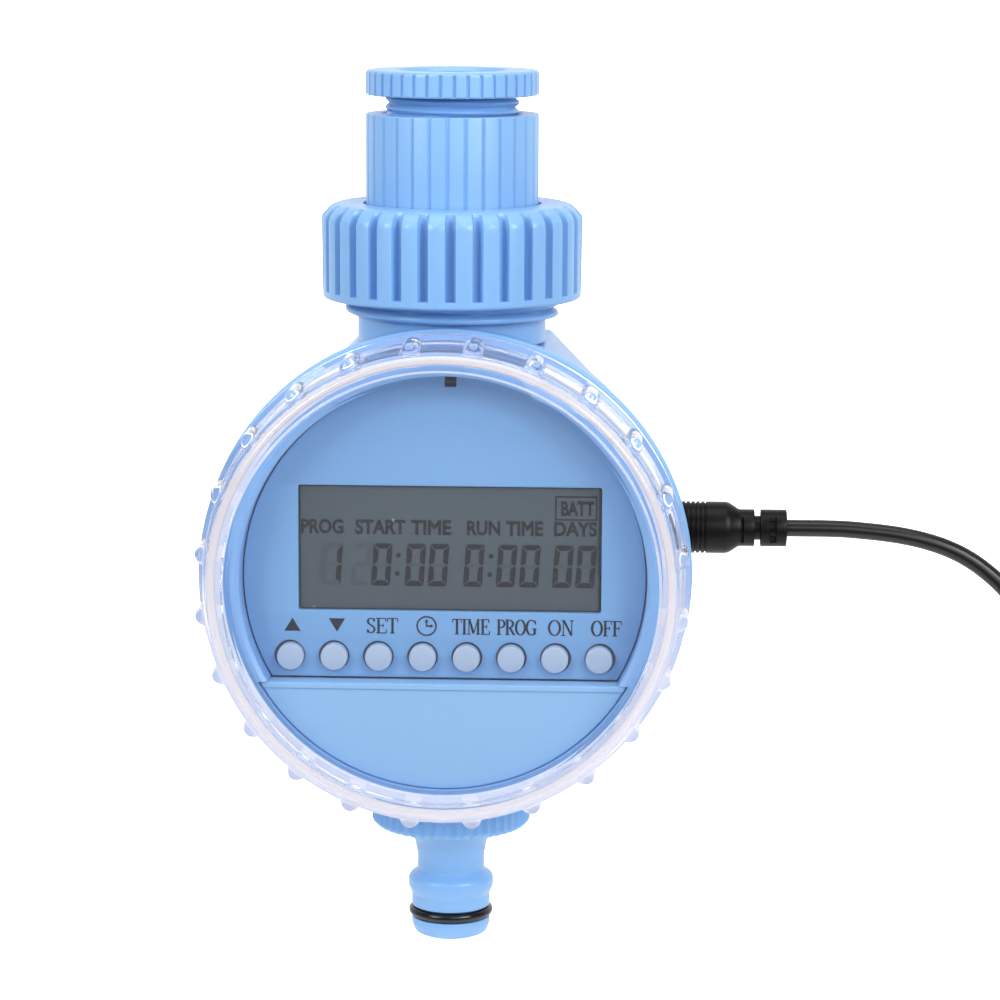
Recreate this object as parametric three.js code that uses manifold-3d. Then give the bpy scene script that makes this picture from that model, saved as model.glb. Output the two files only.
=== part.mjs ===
// Drip irrigation timer: a tap-mounted water timer with an electric ball valve.
// Millimetres, +Z up, +X to the right, the dial faces -Y.
// The origin is the centre of the tap adaptor's top opening.
// "Forward" distances (d) are measured from the pipe's axis towards -Y.
import * as THREE from "three";
import { mergeVertices } from "three/addons/utils/BufferGeometryUtils.js";
import Module from "manifold-3d";

const wasm = await Module();
wasm.setup();

// ---------------------------------------------------------------- sizes

const GAP = 0.3;
const SEGMENTS = { dial: 28, pipe: 20, ring: 14, small: 10 };
const DIAL = { z: -96.7, drumR: 43.5, drumInnerR: 41.3, back: -30, wall: 2.2 };
const FLANGE = { r: 48, rear: 16.8, front: 20 };
const BOSS = { outerR: 43.6, innerR: 41.3, front: 28, lipR: 39.4, lipFront: 29, ledgeR: 38 };
const PANEL = { r: 39.1, rear: 21.5, front: 23.5, bottom: -116.6 };
const DOOR = { r: 40.8, front: 28, top: -118.2, beadZ: -117.9, beadHalf: 32.3 };
const LCD = { x0: -28.45, x1: 30.5, z0: -103.4, z1: -78.7 };
const BUTTON = { count: 8, x0: -30.2, step: 8.655, z: -112.4, r: 2.62, face: 25.2, holeR: 2.97 };
const COVER = { r: 47.6, rear: 22.5, front: 38.6, boreR: 44.6, bumps: 24, bumpR: 1.9 };
const VALVE = { z: -80, ballR: 8.5, boreR: 4.8, chamberR: 9, barrelR: 14, stemR: 3 };
const NECK = { r: 18.6, bottom: -53.3, threadR: 20.6, ridgeR: 21.1, top: -38.6 };
const NUT = { r: 25.5, top: -26, bottom: -44.7, holeR: 17.5, threadR: 21.6, grooves: 30 };
const SLEEVE = { r: 17, top: -8.5, shoulder: -30.1, bottom: -34.5, flangeR: 21.2, ribs: 30 };
const ADAPTOR = { r: 17, rim: -4.9, hubR: 13.2, bottom: -20, socketR: 10.3, boreR: 6.8, ribs: 40 };
const OUTLET = { top: -141.5, threadR: 13, bottom: -147, skirtR: 16, ribs: 48 };
const GEAR = { module: 0.7, wheel: 36, pinion: 12 };
const IDLER = { x: -7.9, z: -94.8 };
const MOTOR = { x: -24.5, z: -92, r: 9, rear: -17.2, front: 8 };
const PLUG = { z: -89, d: 8, nose: 43.8, end: 66.7, gripR: 5.1, reliefR: 3.7 };
const CABLE = { d: 3.4, sides: 8 };
const COIL = { x: 118, y: 0.5, z: -135, meanR: 20.5, half: 5.3 };
const SCREWS = [
  [27, 24],
  [-27, 24],
  [27, -24],
  [-27, -24],
];
const BATTERY = { x: 15.2, z: -125.2, r: 5.25, rear: -20.6, front: 23.1 };
// The lead's route from the plug to the coil, placed by hand.
const LEAD_ROUTE = [
  [66.7 + GAP, -8, -89.0],
  [70, -8, -89.0],
  [74, -8, -89.0],
  [78, -8, -89.0],
  [82, -8, -89.1],
  [86, -8, -89.3],
  [90, -8, -89.7],
  [94, -8, -90.5],
  [98, -8, -91.8],
  [102, -8.1, -93.8],
  [106, -8.5, -96.7],
  [109.8, -9.5, -100.3],
  [113.2, -11.6, -104.3],
  [116, -14.8, -108.4],
  [117.6, -18, -112.2],
  [118, -20, -116.8],
];
const TAIL_ROUTE = [
  [125.3, 5.5, -115.6],
  [126.6, 1, -114.9],
  [128.3, -4, -116],
  [129, -8.6, -119.2],
  [129, -11, -123.2],
  [129, -11.5, -127],
];

// ---------------------------------------------------------------- helpers

/** Turns a closed triangle geometry into a solid for cutting and joining. */
function solid(geometry) {
  const bare = geometry.index ? geometry.toNonIndexed() : geometry.clone();
  bare.deleteAttribute("normal");
  bare.deleteAttribute("uv");
  const merged = mergeVertices(bare, 1e-4);
  const index = merged.index.array;
  const kept = [];
  for (let i = 0; i < index.length; i += 3) {
    const [a, b, c] = [index[i], index[i + 1], index[i + 2]];
    if (a !== b && b !== c && c !== a) kept.push(a, b, c);
  }
  const vertProperties = new Float32Array(merged.attributes.position.array);
  const triVerts = new Uint32Array(kept);
  return new wasm.Manifold(new wasm.Mesh({ numProp: 3, vertProperties, triVerts }));
}

/** Gives a solid back as a geometry. */
function geometryOf(body) {
  const mesh = body.getMesh();
  const geometry = new THREE.BufferGeometry();
  const position = new THREE.BufferAttribute(new Float32Array(mesh.vertProperties), 3);
  geometry.setAttribute("position", position);
  geometry.setIndex(new THREE.BufferAttribute(new Uint32Array(mesh.triVerts), 1));
  geometry.computeVertexNormals();
  return geometry;
}

/** Joins geometries into one. */
function join(first, ...others) {
  return geometryOf(others.reduce((all, next) => all.add(solid(next)), solid(first)));
}

/** Cuts the tools out of a geometry. */
function cut(first, ...tools) {
  return geometryOf(tools.reduce((all, tool) => all.subtract(solid(tool)), solid(first)));
}

/** Turns a profile of [radius, height] corners about the Y axis. */
function turned(profile, segments) {
  let area = 0;
  profile.forEach(([r, h], i) => {
    const [r2, h2] = profile[(i + 1) % profile.length];
    area += r * h2 - r2 * h;
  });
  const points = profile.map(([r, h]) => new THREE.Vector2(r, h));
  if (area < 0) points.reverse();
  const touchesAxis = points[0].x === 0 && points.at(-1).x === 0;
  if (!touchesAxis) points.push(points[0].clone());
  return new THREE.LatheGeometry(points, segments);
}

/** A turned piece about the pipe's axis: heights are z. */
const turnedZ = (profile, segments = SEGMENTS.pipe) => turned(profile, segments).rotateX(Math.PI / 2);

/** A turned piece that faces forward: heights are d. */
const turnedForward = (profile, segments = SEGMENTS.dial) => turned(profile, segments).rotateZ(Math.PI);

/** A turned piece along +X: heights are x. */
const turnedX = (profile, segments = SEGMENTS.ring) => turned(profile, segments).rotateZ(-Math.PI / 2);

/** A ring or disc about the dial's axis, in dial coordinates. */
const onDial = (profile, segments) => turnedForward(profile, segments).translate(0, 0, DIAL.z);

/** A plain cylinder facing forward, at (x, z), between two forward distances. */
function peg(x, z, r, d0, d1, segments = SEGMENTS.small) {
  const profile = [
    [0, d0],
    [r, d0],
    [r, d1],
    [0, d1],
  ];
  return turnedForward(profile, segments).translate(x, 0, z);
}

/** A plain cylinder about the pipe's axis. */
function post(r, z0, z1, segments = SEGMENTS.pipe) {
  const profile = [
    [0, z0],
    [r, z0],
    [r, z1],
    [0, z1],
  ];
  return turnedZ(profile, segments);
}

/** A ring of rectangular section about the pipe's axis. */
function ringZ(innerR, outerR, z0, z1, segments = SEGMENTS.ring) {
  const profile = [
    [innerR, z0],
    [outerR, z0],
    [outerR, z1],
    [innerR, z1],
  ];
  return turnedZ(profile, segments);
}

/** A box given by its two corners; the depth is in forward distances. */
function block(x0, x1, d0, d1, z0, z1) {
  const box = new THREE.BoxGeometry(x1 - x0, d1 - d0, z1 - z0);
  return box.translate((x0 + x1) / 2, -(d0 + d1) / 2, (z0 + z1) / 2);
}

/** An outline in the X-Z plane, thickened between two forward distances. */
function slab(outline, d0, d1, holes = []) {
  const shape = new THREE.Shape(outline.map(([x, z]) => new THREE.Vector2(x, z)));
  holes.forEach((hole) => shape.holes.push(hole));
  const settings = { depth: d1 - d0, curveSegments: 7, bevelEnabled: false };
  const plate = new THREE.ExtrudeGeometry(shape, settings);
  return plate.rotateX(Math.PI / 2).translate(0, -d0, 0);
}

/** Ribs round a cylinder about the pipe's axis: flats at r, notches at r - depth. */
function knurled(r, depth, count, flatShare, z0, z1) {
  const shape = new THREE.Shape();
  const pitch = (2 * Math.PI) / count;
  for (let i = 0; i < count; i += 1) {
    const centre = i * pitch;
    const corners = [
      [r, centre - (flatShare * pitch) / 2],
      [r, centre + (flatShare * pitch) / 2],
      [r - depth, centre + pitch / 2],
    ];
    corners.forEach(([radius, angle], j) => {
      const x = radius * Math.cos(angle);
      const y = radius * Math.sin(angle);
      if (i + j === 0) shape.moveTo(x, y);
      else if (flatShare > 0 || j !== 1) shape.lineTo(x, y);
    });
  }
  const ring = new THREE.ExtrudeGeometry(shape, { depth: z1 - z0, bevelEnabled: false });
  return ring.translate(0, 0, z0);
}

/** A round tube along a route of points. */
function tube(route, diameter, sides, steps) {
  const shape = new THREE.Shape();
  shape.absarc(0, 0, diameter / 2, 0, 2 * Math.PI, false);
  const curve = new THREE.CatmullRomCurve3(route.map((p) => new THREE.Vector3(...p)));
  const curveSegments = sides / 2;
  const settings = { steps, curveSegments, bevelEnabled: false, extrudePath: curve };
  return new THREE.ExtrudeGeometry(shape, settings);
}

/** A spur gear's outline with straight flanks, its first tooth at the given angle. */
function gearOutline(teeth, firstTooth) {
  const pitchR = (GEAR.module * teeth) / 2;
  const addendum = 0.85 * GEAR.module;
  const dedendum = 1.2 * GEAR.module;
  const halfTooth = 0.2 * Math.PI * GEAR.module;
  const slope = Math.tan(THREE.MathUtils.degToRad(20));
  const tipAngle = (halfTooth - addendum * slope) / (pitchR + addendum);
  const rootAngle = (halfTooth + dedendum * slope) / (pitchR - dedendum);
  const outline = [];
  for (let i = 0; i < teeth; i += 1) {
    const centre = firstTooth + (2 * Math.PI * i) / teeth;
    const corners = [
      [pitchR - dedendum, centre - rootAngle],
      [pitchR + addendum, centre - tipAngle],
      [pitchR + addendum, centre + tipAngle],
      [pitchR - dedendum, centre + rootAngle],
    ];
    corners.forEach(([r, a]) => outline.push([r * Math.cos(a), r * Math.sin(a)]));
  }
  return outline;
}

/** A round hole for a slab. */
function hole(x, z, r) {
  const path = new THREE.Path();
  path.absarc(x, z, r, 0, 2 * Math.PI, true);
  return path;
}

const timer = new THREE.Group();
timer.name = "drip_irrigation_timer";

/** Adds a named piece with a material of its own. */
function piece(name, finish, geometry) {
  const [color, roughness, metalness = 0, opacity = 1] = finish;
  const transparent = opacity < 1;
  const settings = { color, roughness, metalness, opacity, transparent };
  const mesh = new THREE.Mesh(geometry, new THREE.MeshStandardMaterial(settings));
  mesh.name = name;
  timer.add(mesh);
  return mesh;
}

const BLUE = [0x86bbf2, 0.38];
const PANEL_BLUE = [0x6f9dd2, 0.42];
const DOOR_BLUE = [0x86b3e6, 0.42];
const CAP_BLUE = [0xa9bfe0, 0.45];
const CLEAR = [0xf4f7fb, 0.05, 0, 0.3];
const CREAM = [0xe9e2da, 0.7];
const BLACK_RUBBER = [0x141414, 0.6];
const BLACK_PLASTIC = [0x151517, 0.45];
const WHITE_PLASTIC = [0xe8e6e0, 0.5];
const STEEL = [0xb9bcc0, 0.3, 1];
const BRASS = [0xb59a55, 0.35, 1];

// ---------------------------------------------------------------- inlet

/** The tap adaptor: ribbed rim, threaded hub, half-inch socket. */
function tapAdaptor() {
  const a = ADAPTOR;
  const rim = knurled(a.r, 0.45, a.ribs, 0.62, a.rim, 0);
  const hub = turnedZ([
    [0, a.bottom],
    [12.6, a.bottom],
    [a.hubR, a.bottom + 0.8],
    [a.hubR, a.rim + 0.5],
    [0, a.rim + 0.5],
  ]);
  const socket = post(a.socketR, -13.5, 1);
  const bore = post(a.boreR, a.bottom - 1, -13);
  return cut(join(rim, hub), socket, bore);
}

/** The sleeve that the adaptor screws into, with a flange under the nut. */
function tapSleeve() {
  const s = SLEEVE;
  const barrel = knurled(s.r, 0.5, s.ribs, 0.78, s.shoulder - 0.5, s.top);
  const flange = post(s.flangeR, s.bottom, s.shoulder);
  return cut(join(barrel, flange), post(13.5, -22.6, s.top + 1), post(9.5, s.bottom - 1, -22));
}

/** The large ribbed nut that clamps the sleeve to the inlet stub. */
function inletNut() {
  const n = NUT;
  const body = turnedZ(
    [
      [n.holeR, n.top],
      [23.2, n.top],
      [24.9, n.top - 1.2],
      [n.r, n.top - 3],
      [n.r, n.bottom + 1.8],
      [24, n.bottom],
      [n.threadR, n.bottom],
      [n.threadR, n.top - 3.8],
      [n.holeR, n.top - 3.8],
    ],
    n.grooves,
  );
  const grooves = [];
  for (let i = 0; i < n.grooves; i += 1) {
    const groove = new THREE.BoxGeometry(3, 1.9, 16.4);
    groove.translate(n.r + 0.3, 0, (n.top + n.bottom) / 2 + 0.2);
    grooves.push(groove.rotateZ(((i + 0.5) * 2 * Math.PI) / n.grooves));
  }
  return cut(body, ...grooves);
}

/** The filter cup that hangs in the inlet stub. */
function filterScreen() {
  return turnedZ(
    [
      [0, -50],
      [12.5, -50],
      [14, -47],
      [14.6, -38.3],
      [20, -38.3],
      [20, -37.1],
      [13.8, -37.1],
      [13.2, -46.6],
      [12, -49.2],
      [0, -49.2],
    ],
    SEGMENTS.ring,
  );
}

piece("tap_adaptor", BLUE, tapAdaptor());
piece("adaptor_washer", BLACK_RUBBER, ringZ(6.8, 10, -13.2, -11.2));
piece("tap_sleeve", BLUE, tapSleeve());
piece("tap_washer", BLACK_RUBBER, ringZ(9.8, 13.2, -22.3, -20.3));
piece("inlet_nut", BLUE, inletNut());
piece("inlet_gasket", BLACK_RUBBER, ringZ(9.5, 20, -36.8, -34.8, SEGMENTS.pipe));
piece("filter_screen", WHITE_PLASTIC, filterScreen());

// ---------------------------------------------------------------- valve

/** The valve's body: threaded stub, neck, ball chamber and stem boss. */
function valveBody() {
  const v = VALVE;
  const outer = turnedZ([
    [0, -91],
    [v.barrelR, -91],
    [v.barrelR, NECK.bottom],
    [NECK.r, NECK.bottom],
    [NECK.r, -48.2],
    [NECK.ridgeR, -47.4],
    [NECK.ridgeR, -46.2],
    [NECK.threadR, -45.4],
    [NECK.threadR, NECK.top],
    [0, NECK.top],
  ]);
  const water = turnedZ([
    [0, -92],
    [v.chamberR, -92],
    [v.chamberR, -70.5],
    [5.2, -70.5],
    [9.6, -60],
    [9.6, -56],
    [15.6, -51.5],
    [15.6, NECK.top + 1],
    [0, NECK.top + 1],
  ]);
  const boss = peg(0, v.z, 6.5, -17.2, -10, SEGMENTS.ring);
  const stemHole = peg(0, v.z, 3.3, -18, -6, SEGMENTS.ring);
  const ringPocket = peg(0, v.z, 5.3, -18, -14.6, SEGMENTS.ring);
  return cut(join(outer, boss), water, stemHole, ringPocket);
}

/** The lower end of the valve: flange, pipe and three-quarter-inch outlet thread. */
function valveTailpiece() {
  const o = OUTLET;
  return turnedZ([
    [5, -89.4],
    [8.7, -89.4],
    [8.7, -91.3],
    [13.4, -91.3],
    [13.4, -93.5],
    [8, -95],
    [8, o.top],
    [o.threadR, o.top],
    [o.threadR, o.bottom],
    [6.6, o.bottom],
    [6.2, -120],
    [5, -100],
  ]);
}

/** A seat ring, its cone facing the ball; side is +1 above the ball and -1 below. */
function seat(side) {
  return turnedZ(
    [
      [5.3, VALVE.z + side * 7.2],
      [8.7, VALVE.z + side * 3.7],
      [8.7, VALVE.z + side * 9.1],
      [5.3, VALVE.z + side * 9.1],
    ],
    SEGMENTS.ring,
  );
}

/** The ball, closed at rest: its bore lies along X. */
function valveBall() {
  const ball = new THREE.SphereGeometry(VALVE.ballR, 18, 12).translate(0, 0, VALVE.z);
  const bore = turnedX([
    [0, -10],
    [VALVE.boreR, -10],
    [VALVE.boreR, 10],
    [0, 10],
  ]).translate(0, 0, VALVE.z);
  const slot = block(-4.5, 4.5, -9, -6.2, VALVE.z - 1.6, VALVE.z + 1.6);
  return cut(ball, bore, slot);
}

/** The stem: a tang in the ball's slot and a shaft back to the output gear. */
function valveStem() {
  const shaft = peg(0, VALVE.z, VALVE.stemR, -24, -8.8, SEGMENTS.ring);
  const tang = block(-3, 3, -9, -6.8, VALVE.z - 1.2, VALVE.z + 1.2);
  return join(shaft, tang);
}

piece("valve_body", WHITE_PLASTIC, valveBody());
piece("valve_tailpiece", WHITE_PLASTIC, valveTailpiece());
piece("valve_ball", STEEL, valveBall());
piece("valve_stem", BRASS, valveStem());
piece("seat_upper", WHITE_PLASTIC, seat(1));
piece("seat_lower", WHITE_PLASTIC, seat(-1));
piece(
  "stem_oring",
  BLACK_RUBBER,
  turnedForward(
    [
      [3.3, -16.6],
      [5, -16.6],
      [5, -14.9],
      [3.3, -14.9],
    ],
    SEGMENTS.ring,
  ).translate(0, 0, VALVE.z),
);

// ---------------------------------------------------------------- gear train

/** Direction in the X-Z plane from one centre to another. */
const bearing = (from, to) => Math.atan2(to.z - from.z, to.x - from.x);

/** A gear between two forward distances, with a shaft hole. */
function gear(teeth, at, firstTooth, d0, d1, holeR) {
  const wheel = slab(gearOutline(teeth, firstTooth), d0, d1, [hole(0, 0, holeR)]);
  return wheel.translate(at.x, 0, at.z);
}

const STEM_AT = { x: 0, z: VALVE.z };
const toIdler = bearing(STEM_AT, IDLER);
const toMotor = bearing(IDLER, MOTOR);
const halfPitch = Math.PI / GEAR.pinion;

/** The idler: a large wheel behind a small pinion, on one hub. */
function idlerGear() {
  const pinionTooth = toIdler + Math.PI + halfPitch;
  const pinion = gear(GEAR.pinion, IDLER, pinionTooth, -23.3, -19.5, 1.7);
  const wheel = gear(GEAR.wheel, IDLER, toMotor, -26, -23.3, 1.7);
  return join(pinion, wheel);
}

/** The plate that carries the motor and the idler's pin. */
function gearPlate() {
  const outline = [
    [-34, -101],
    [-16, -106],
    [1, -106],
    [12, -92],
    [12, -71],
    [-12, -71],
    [-34, -83],
  ];
  const holes = [hole(0, VALVE.z, 3.4), hole(MOTOR.x, MOTOR.z, 2.2)];
  const plate = slab(outline, -19, -17.5, holes);
  return join(plate, peg(IDLER.x, IDLER.z, 1.4, -26.8, -18.5));
}

/** The gear motor with its shaft towards the back. */
function gearMotor() {
  const can = peg(MOTOR.x, MOTOR.z, MOTOR.r, MOTOR.rear, MOTOR.front, SEGMENTS.ring);
  const cap = peg(MOTOR.x, MOTOR.z, 3.5, MOTOR.front - 0.5, MOTOR.front + 1.6);
  const shaft = peg(MOTOR.x, MOTOR.z, 1, -26.4, MOTOR.rear + 0.5);
  return join(can, cap, shaft);
}

piece("output_gear", WHITE_PLASTIC, gear(GEAR.wheel, STEM_AT, toIdler, -23, -19.5, 3.3));
piece("idler_gear", WHITE_PLASTIC, idlerGear());
piece(
  "motor_pinion",
  BRASS,
  gear(GEAR.pinion, MOTOR, toMotor + Math.PI + halfPitch, -26.2, -23.2, 1.3),
);
piece("gear_plate", STEEL, gearPlate());
piece("gear_motor", STEEL, gearMotor());

// ---------------------------------------------------------------- housings

/** The drum's outer or inner form, closed at the back. */
function drumForm(frontR, backR, chamferR, back, front) {
  return onDial(
    [
      [0, back],
      [chamferR, back],
      [backR, back + 2.6],
      [frontR, front],
      [0, front],
    ],
    SEGMENTS.dial,
  );
}

/** The shoulders that join the drum to the neck, as a solid outline. */
function shoulders(top, inset, d0, d1) {
  const outline = [
    [-18.9 + inset, top],
    [-30.9 + inset, -66.1],
    [-20, -90],
    [20, -90],
    [30.9 - inset, -66.1],
    [18.9 - inset, top],
  ];
  return slab(outline.reverse(), d0, d1);
}

/** The rear housing: drum, shoulders, outlet collar and screw bosses. */
function rearHousing() {
  const front = FLANGE.rear - GAP;
  const drum = drumForm(DIAL.drumR, 42.4, 39.4, DIAL.back, front);
  const collar = post(14.6, OUTLET.top + GAP, -134);
  const outer = join(drum, shoulders(NECK.bottom - GAP, 0, -22, front), collar);
  const cavity = join(
    drumForm(DIAL.drumInnerR, 40.2, 38.2, DIAL.back + DIAL.wall, front + 1),
    shoulders(-56, 2.6, -19.8, front + 1),
  );
  const shell = cut(outer, cavity);
  const bosses = SCREWS.map(([x, z]) => peg(x, DIAL.z + z, 4.2, -28.5, -10.3));
  const screwHoles = SCREWS.map(([x, z]) => peg(x, DIAL.z + z, 1.8, -31, -10));
  const headHoles = SCREWS.map(([x, z]) => peg(x, DIAL.z + z, 3.1, -31, -27));
  const socketHole = turnedX([
    [0, 38],
    [3.4, 38],
    [3.4, 46],
    [0, 46],
  ]).translate(0, -PLUG.d, PLUG.z);
  const valveHole = post(VALVE.barrelR + GAP, -60, -50);
  const neckSeat = post(NECK.r + GAP, NECK.bottom - GAP, -50);
  const pipeHole = post(8.4, -145, -130);
  return cut(
    join(shell, ...bosses),
    ...screwHoles,
    ...headHoles,
    socketHole,
    valveHole,
    neckSeat,
    pipeHole,
  );
}

/** The front housing: flange, threaded boss, lip and screw pillars. */
function frontHousing() {
  const b = BOSS;
  const ring = onDial(
    [
      [b.ledgeR, FLANGE.rear],
      [41.6, FLANGE.rear],
      [41.6, 18.1],
      [43.2, 18.1],
      [43.2, FLANGE.rear],
      [FLANGE.r - 0.6, FLANGE.rear],
      [FLANGE.r, FLANGE.rear + 0.6],
      [FLANGE.r, FLANGE.front],
      [b.outerR, FLANGE.front],
      [b.outerR, b.front],
      [b.innerR, b.front],
      [b.innerR, b.lipFront],
      [b.lipR, b.lipFront],
      [b.lipR, 21.2],
      [b.ledgeR, 21.2],
    ],
  );
  const pillars = SCREWS.map(([x, z]) => peg(x, DIAL.z + z, 3.2, -10, 19));
  const pilots = SCREWS.map(([x, z]) => peg(x, DIAL.z + z, 1.3, -11, 2));
  const belowBead = block(-60, 60, 10, 40, -160, DOOR.top);
  const doorDisc = onDial(
    [
      [0, 19.2],
      [41.1, 19.2],
      [41.1, 32],
      [0, 32],
    ],
  );
  const doorRoom = geometryOf(solid(doorDisc).intersect(solid(belowBead)));
  const neckRoom = post(NECK.r + GAP, -60, -44);
  const batteryRoom = [-1, 1].map((s) => peg(s * BATTERY.x, BATTERY.z, 7, 8, 26));
  return cut(join(ring, ...pillars), ...pilots, doorRoom, neckRoom, ...batteryRoom);
}

/** The face panel with its display opening and button holes. */
function facePanel() {
  const p = PANEL;
  const disc = onDial(
    [
      [0, p.rear],
      [p.r, p.rear],
      [p.r, p.front],
      [0, p.front],
    ],
  );
  const below = block(-60, 60, 10, 40, -160, p.bottom);
  const opening = block(LCD.x0, LCD.x1, 20, 25, LCD.z0, LCD.z1);
  const holes = buttonCentres().map((x) => peg(x, BUTTON.z, BUTTON.holeR, 20, 25));
  const keyNotch = block(0, 2.2, 20, 25, -59.4, -56);
  return cut(disc, below, opening, keyNotch, ...holes);
}

/** The lower panel: the battery drawer's front, with a bead along its top. */
function lowerPanel() {
  const front = DOOR.front;
  const disc = onDial(
    [
      [0, front - 2.2],
      [39.2, front - 2.2],
      [39.2, 21.8],
      [DOOR.r, 21.8],
      [DOOR.r, front - 0.5],
      [DOOR.r - 0.6, front],
      [0, front],
    ],
  );
  const above = block(-60, 60, 10, 40, DOOR.top - GAP, -40);
  const bead = block(-DOOR.beadHalf, DOOR.beadHalf, 23.8, 29, DOOR.beadZ - 1, DOOR.beadZ + 1);
  return join(cut(disc, above), bead);
}

/** The battery tray: two sleeves joined by a bridge under the pipe. */
function batteryTray() {
  const b = BATTERY;
  const sleeves = [-1, 1].map((s) => peg(s * b.x, b.z, 6.5, -26.8, 23.5, SEGMENTS.ring));
  const bores = [-1, 1].map((s) => peg(s * b.x, b.z, 5.65, -26, 25, SEGMENTS.ring));
  const bridge = block(-12, 12, 9.5, 12, b.z - 4, b.z + 4);
  return cut(join(sleeves[0], sleeves[1], bridge), ...bores);
}

/** One battery cell with its positive nub to the front. */
function batteryCell(side) {
  const b = BATTERY;
  const can = peg(side * b.x, b.z, b.r, b.rear, b.front, SEGMENTS.ring);
  return join(can, peg(side * b.x, b.z, 1.9, b.front - 0.3, b.front + 0.8));
}

/** One contact spring behind a cell. */
function batterySpring(side) {
  const turns = 2.5;
  const steps = 18;
  const route = [];
  for (let i = 0; i <= steps; i += 1) {
    const angle = (2 * Math.PI * turns * i) / steps;
    const y = 21.5 + (3.8 * i) / steps;
    const r = 2.6 + (1.2 * i) / steps;
    route.push([
      side * BATTERY.x + r * Math.cos(angle),
      y,
      BATTERY.z + r * Math.sin(angle),
    ]);
  }
  return tube(route, 0.7, 6, steps);
}

/** The X places of the buttons, from the left. */
function buttonCentres() {
  return Array.from({ length: BUTTON.count }, (_, i) => BUTTON.x0 + i * BUTTON.step);
}

/** One button: a cap in front of a flange that keeps it behind the panel. */
function button(x) {
  const b = BUTTON;
  const cap = [
    [0, 20.2],
    [3.2, 20.2],
    [3.2, 21.1],
    [b.r, 21.1],
    [b.r, b.face],
    [0, b.face],
  ];
  return turnedForward(cap, SEGMENTS.small).translate(x, 0, b.z);
}

piece("rear_housing", BLUE, rearHousing());
piece("front_housing", BLUE, frontHousing());
piece(
  "housing_seal",
  BLACK_RUBBER,
  onDial(
    [
      [41.9, FLANGE.rear],
      [42.9, FLANGE.rear],
      [42.9, 17.8],
      [41.9, 17.8],
    ],
  ),
);
piece("face_panel", PANEL_BLUE, facePanel());
piece("lower_panel", DOOR_BLUE, lowerPanel());
piece("battery_tray", WHITE_PLASTIC, batteryTray());
[
  ["left", -1],
  ["right", 1],
].forEach(([word, side]) => {
  piece(`battery_${word}`, STEEL, batteryCell(side));
  piece(`battery_spring_${word}`, STEEL, batterySpring(side));
});
buttonCentres().forEach((x, i) => piece(`button_${i + 1}`, CAP_BLUE, button(x)));

SCREWS.forEach(([x, z], i) => {
  const head = peg(x, DIAL.z + z, 2.8, -29.4, -27.3);
  const shank = peg(x, DIAL.z + z, 1, -27.5, 1.5);
  piece(`housing_screw_${i + 1}`, STEEL, join(head, shank));
});

// ---------------------------------------------------------------- display and board

piece("lcd_window", CLEAR, block(-28.15, 30.2, 21.5, 22.5, -103.1, -79));
piece("lcd_module", [0x5b666b, 0.3], block(-29.2, 31.2, 17.2, 21.1, -104.1, -78));
piece("key_mat", WHITE_PLASTIC, block(-31.8, 31.8, 17.2, 19.1, -115.4, -109.4));
piece("main_pcb", [0x1f6b3a, 0.5], block(-34, 34, 14.9, 16.5, -116.8, -78));

/** The power socket: a block with a round well for the plug's barrel. */
function dcSocket() {
  const body = block(29, 38.2, PLUG.d - 5.2, PLUG.d + 5.2, PLUG.z - 5.2, PLUG.z + 5.2);
  const well = turnedX([
    [0, 33],
    [3.1, 33],
    [3.1, 42],
    [0, 42],
  ]).translate(0, -PLUG.d, PLUG.z);
  return cut(body, well);
}

piece("dc_socket", BLACK_PLASTIC, dcSocket());

// ---------------------------------------------------------------- clear cover

/** The clear cover: a shallow cup with bumps round its wall. */
function clearCover() {
  const c = COVER;
  const cup = onDial(
    [
      [0, 36.6],
      [c.boreR, 36.6],
      [c.boreR, c.rear],
      [c.r, c.rear],
      [c.r, c.rear + 3.5],
      [46.6, c.rear + 4.3],
      [45.6, 36.5],
      [44.4, c.front],
      [0, c.front],
    ],
    36,
  );
  const bumps = [];
  for (let i = 0; i < c.bumps; i += 1) {
    const angle = ((i + 0.5) * 2 * Math.PI) / c.bumps;
    const x = 46.6 * Math.sin(angle);
    const z = DIAL.z + 46.6 * Math.cos(angle);
    bumps.push(peg(x, z, c.bumpR, 26.5, 36.4, 6));
  }
  return join(cup, ...bumps);
}

piece("clear_cover", CLEAR, clearCover());
piece(
  "cover_gasket",
  CREAM,
  onDial(
    [
      [42.2, 34.4],
      [44.2, 34.4],
      [44.2, 36.2],
      [42.2, 36.2],
    ],
  ),
);

// ---------------------------------------------------------------- outlet

/** The hose nipple: knurled skirt, flared neck, collar and ring groove. */
function outletNipple() {
  const o = OUTLET;
  const skirt = knurled(o.skirtR, 0.5, o.ribs, 0, -149.6, o.top - 0.7);
  const stack = turnedZ(
    [
      [0, -175],
      [5.6, -175],
      [7.3, -174.2],
      [7.93, -172.6],
      [7.93, -171.2],
      [6.9, -171.2],
      [6.9, -168.8],
      [7.93, -168.8],
      [7.93, -166.2],
      [8.6, -164.6],
      [8.6, -162.9],
      [6.78, -161.3],
      [6.78, -158],
      [7.6, -155],
      [9.8, -153.4],
      [9.8, -151.2],
      [14, -151],
      [15.4, -150.3],
      [15.6, -149.3],
      [0, -149.3],
    ],
  );
  const socket = post(OUTLET.threadR + 0.4, -149.2, o.top + 1);
  const bore = post(4.8, -176, -148);
  return cut(join(skirt, stack), socket, bore);
}

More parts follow.
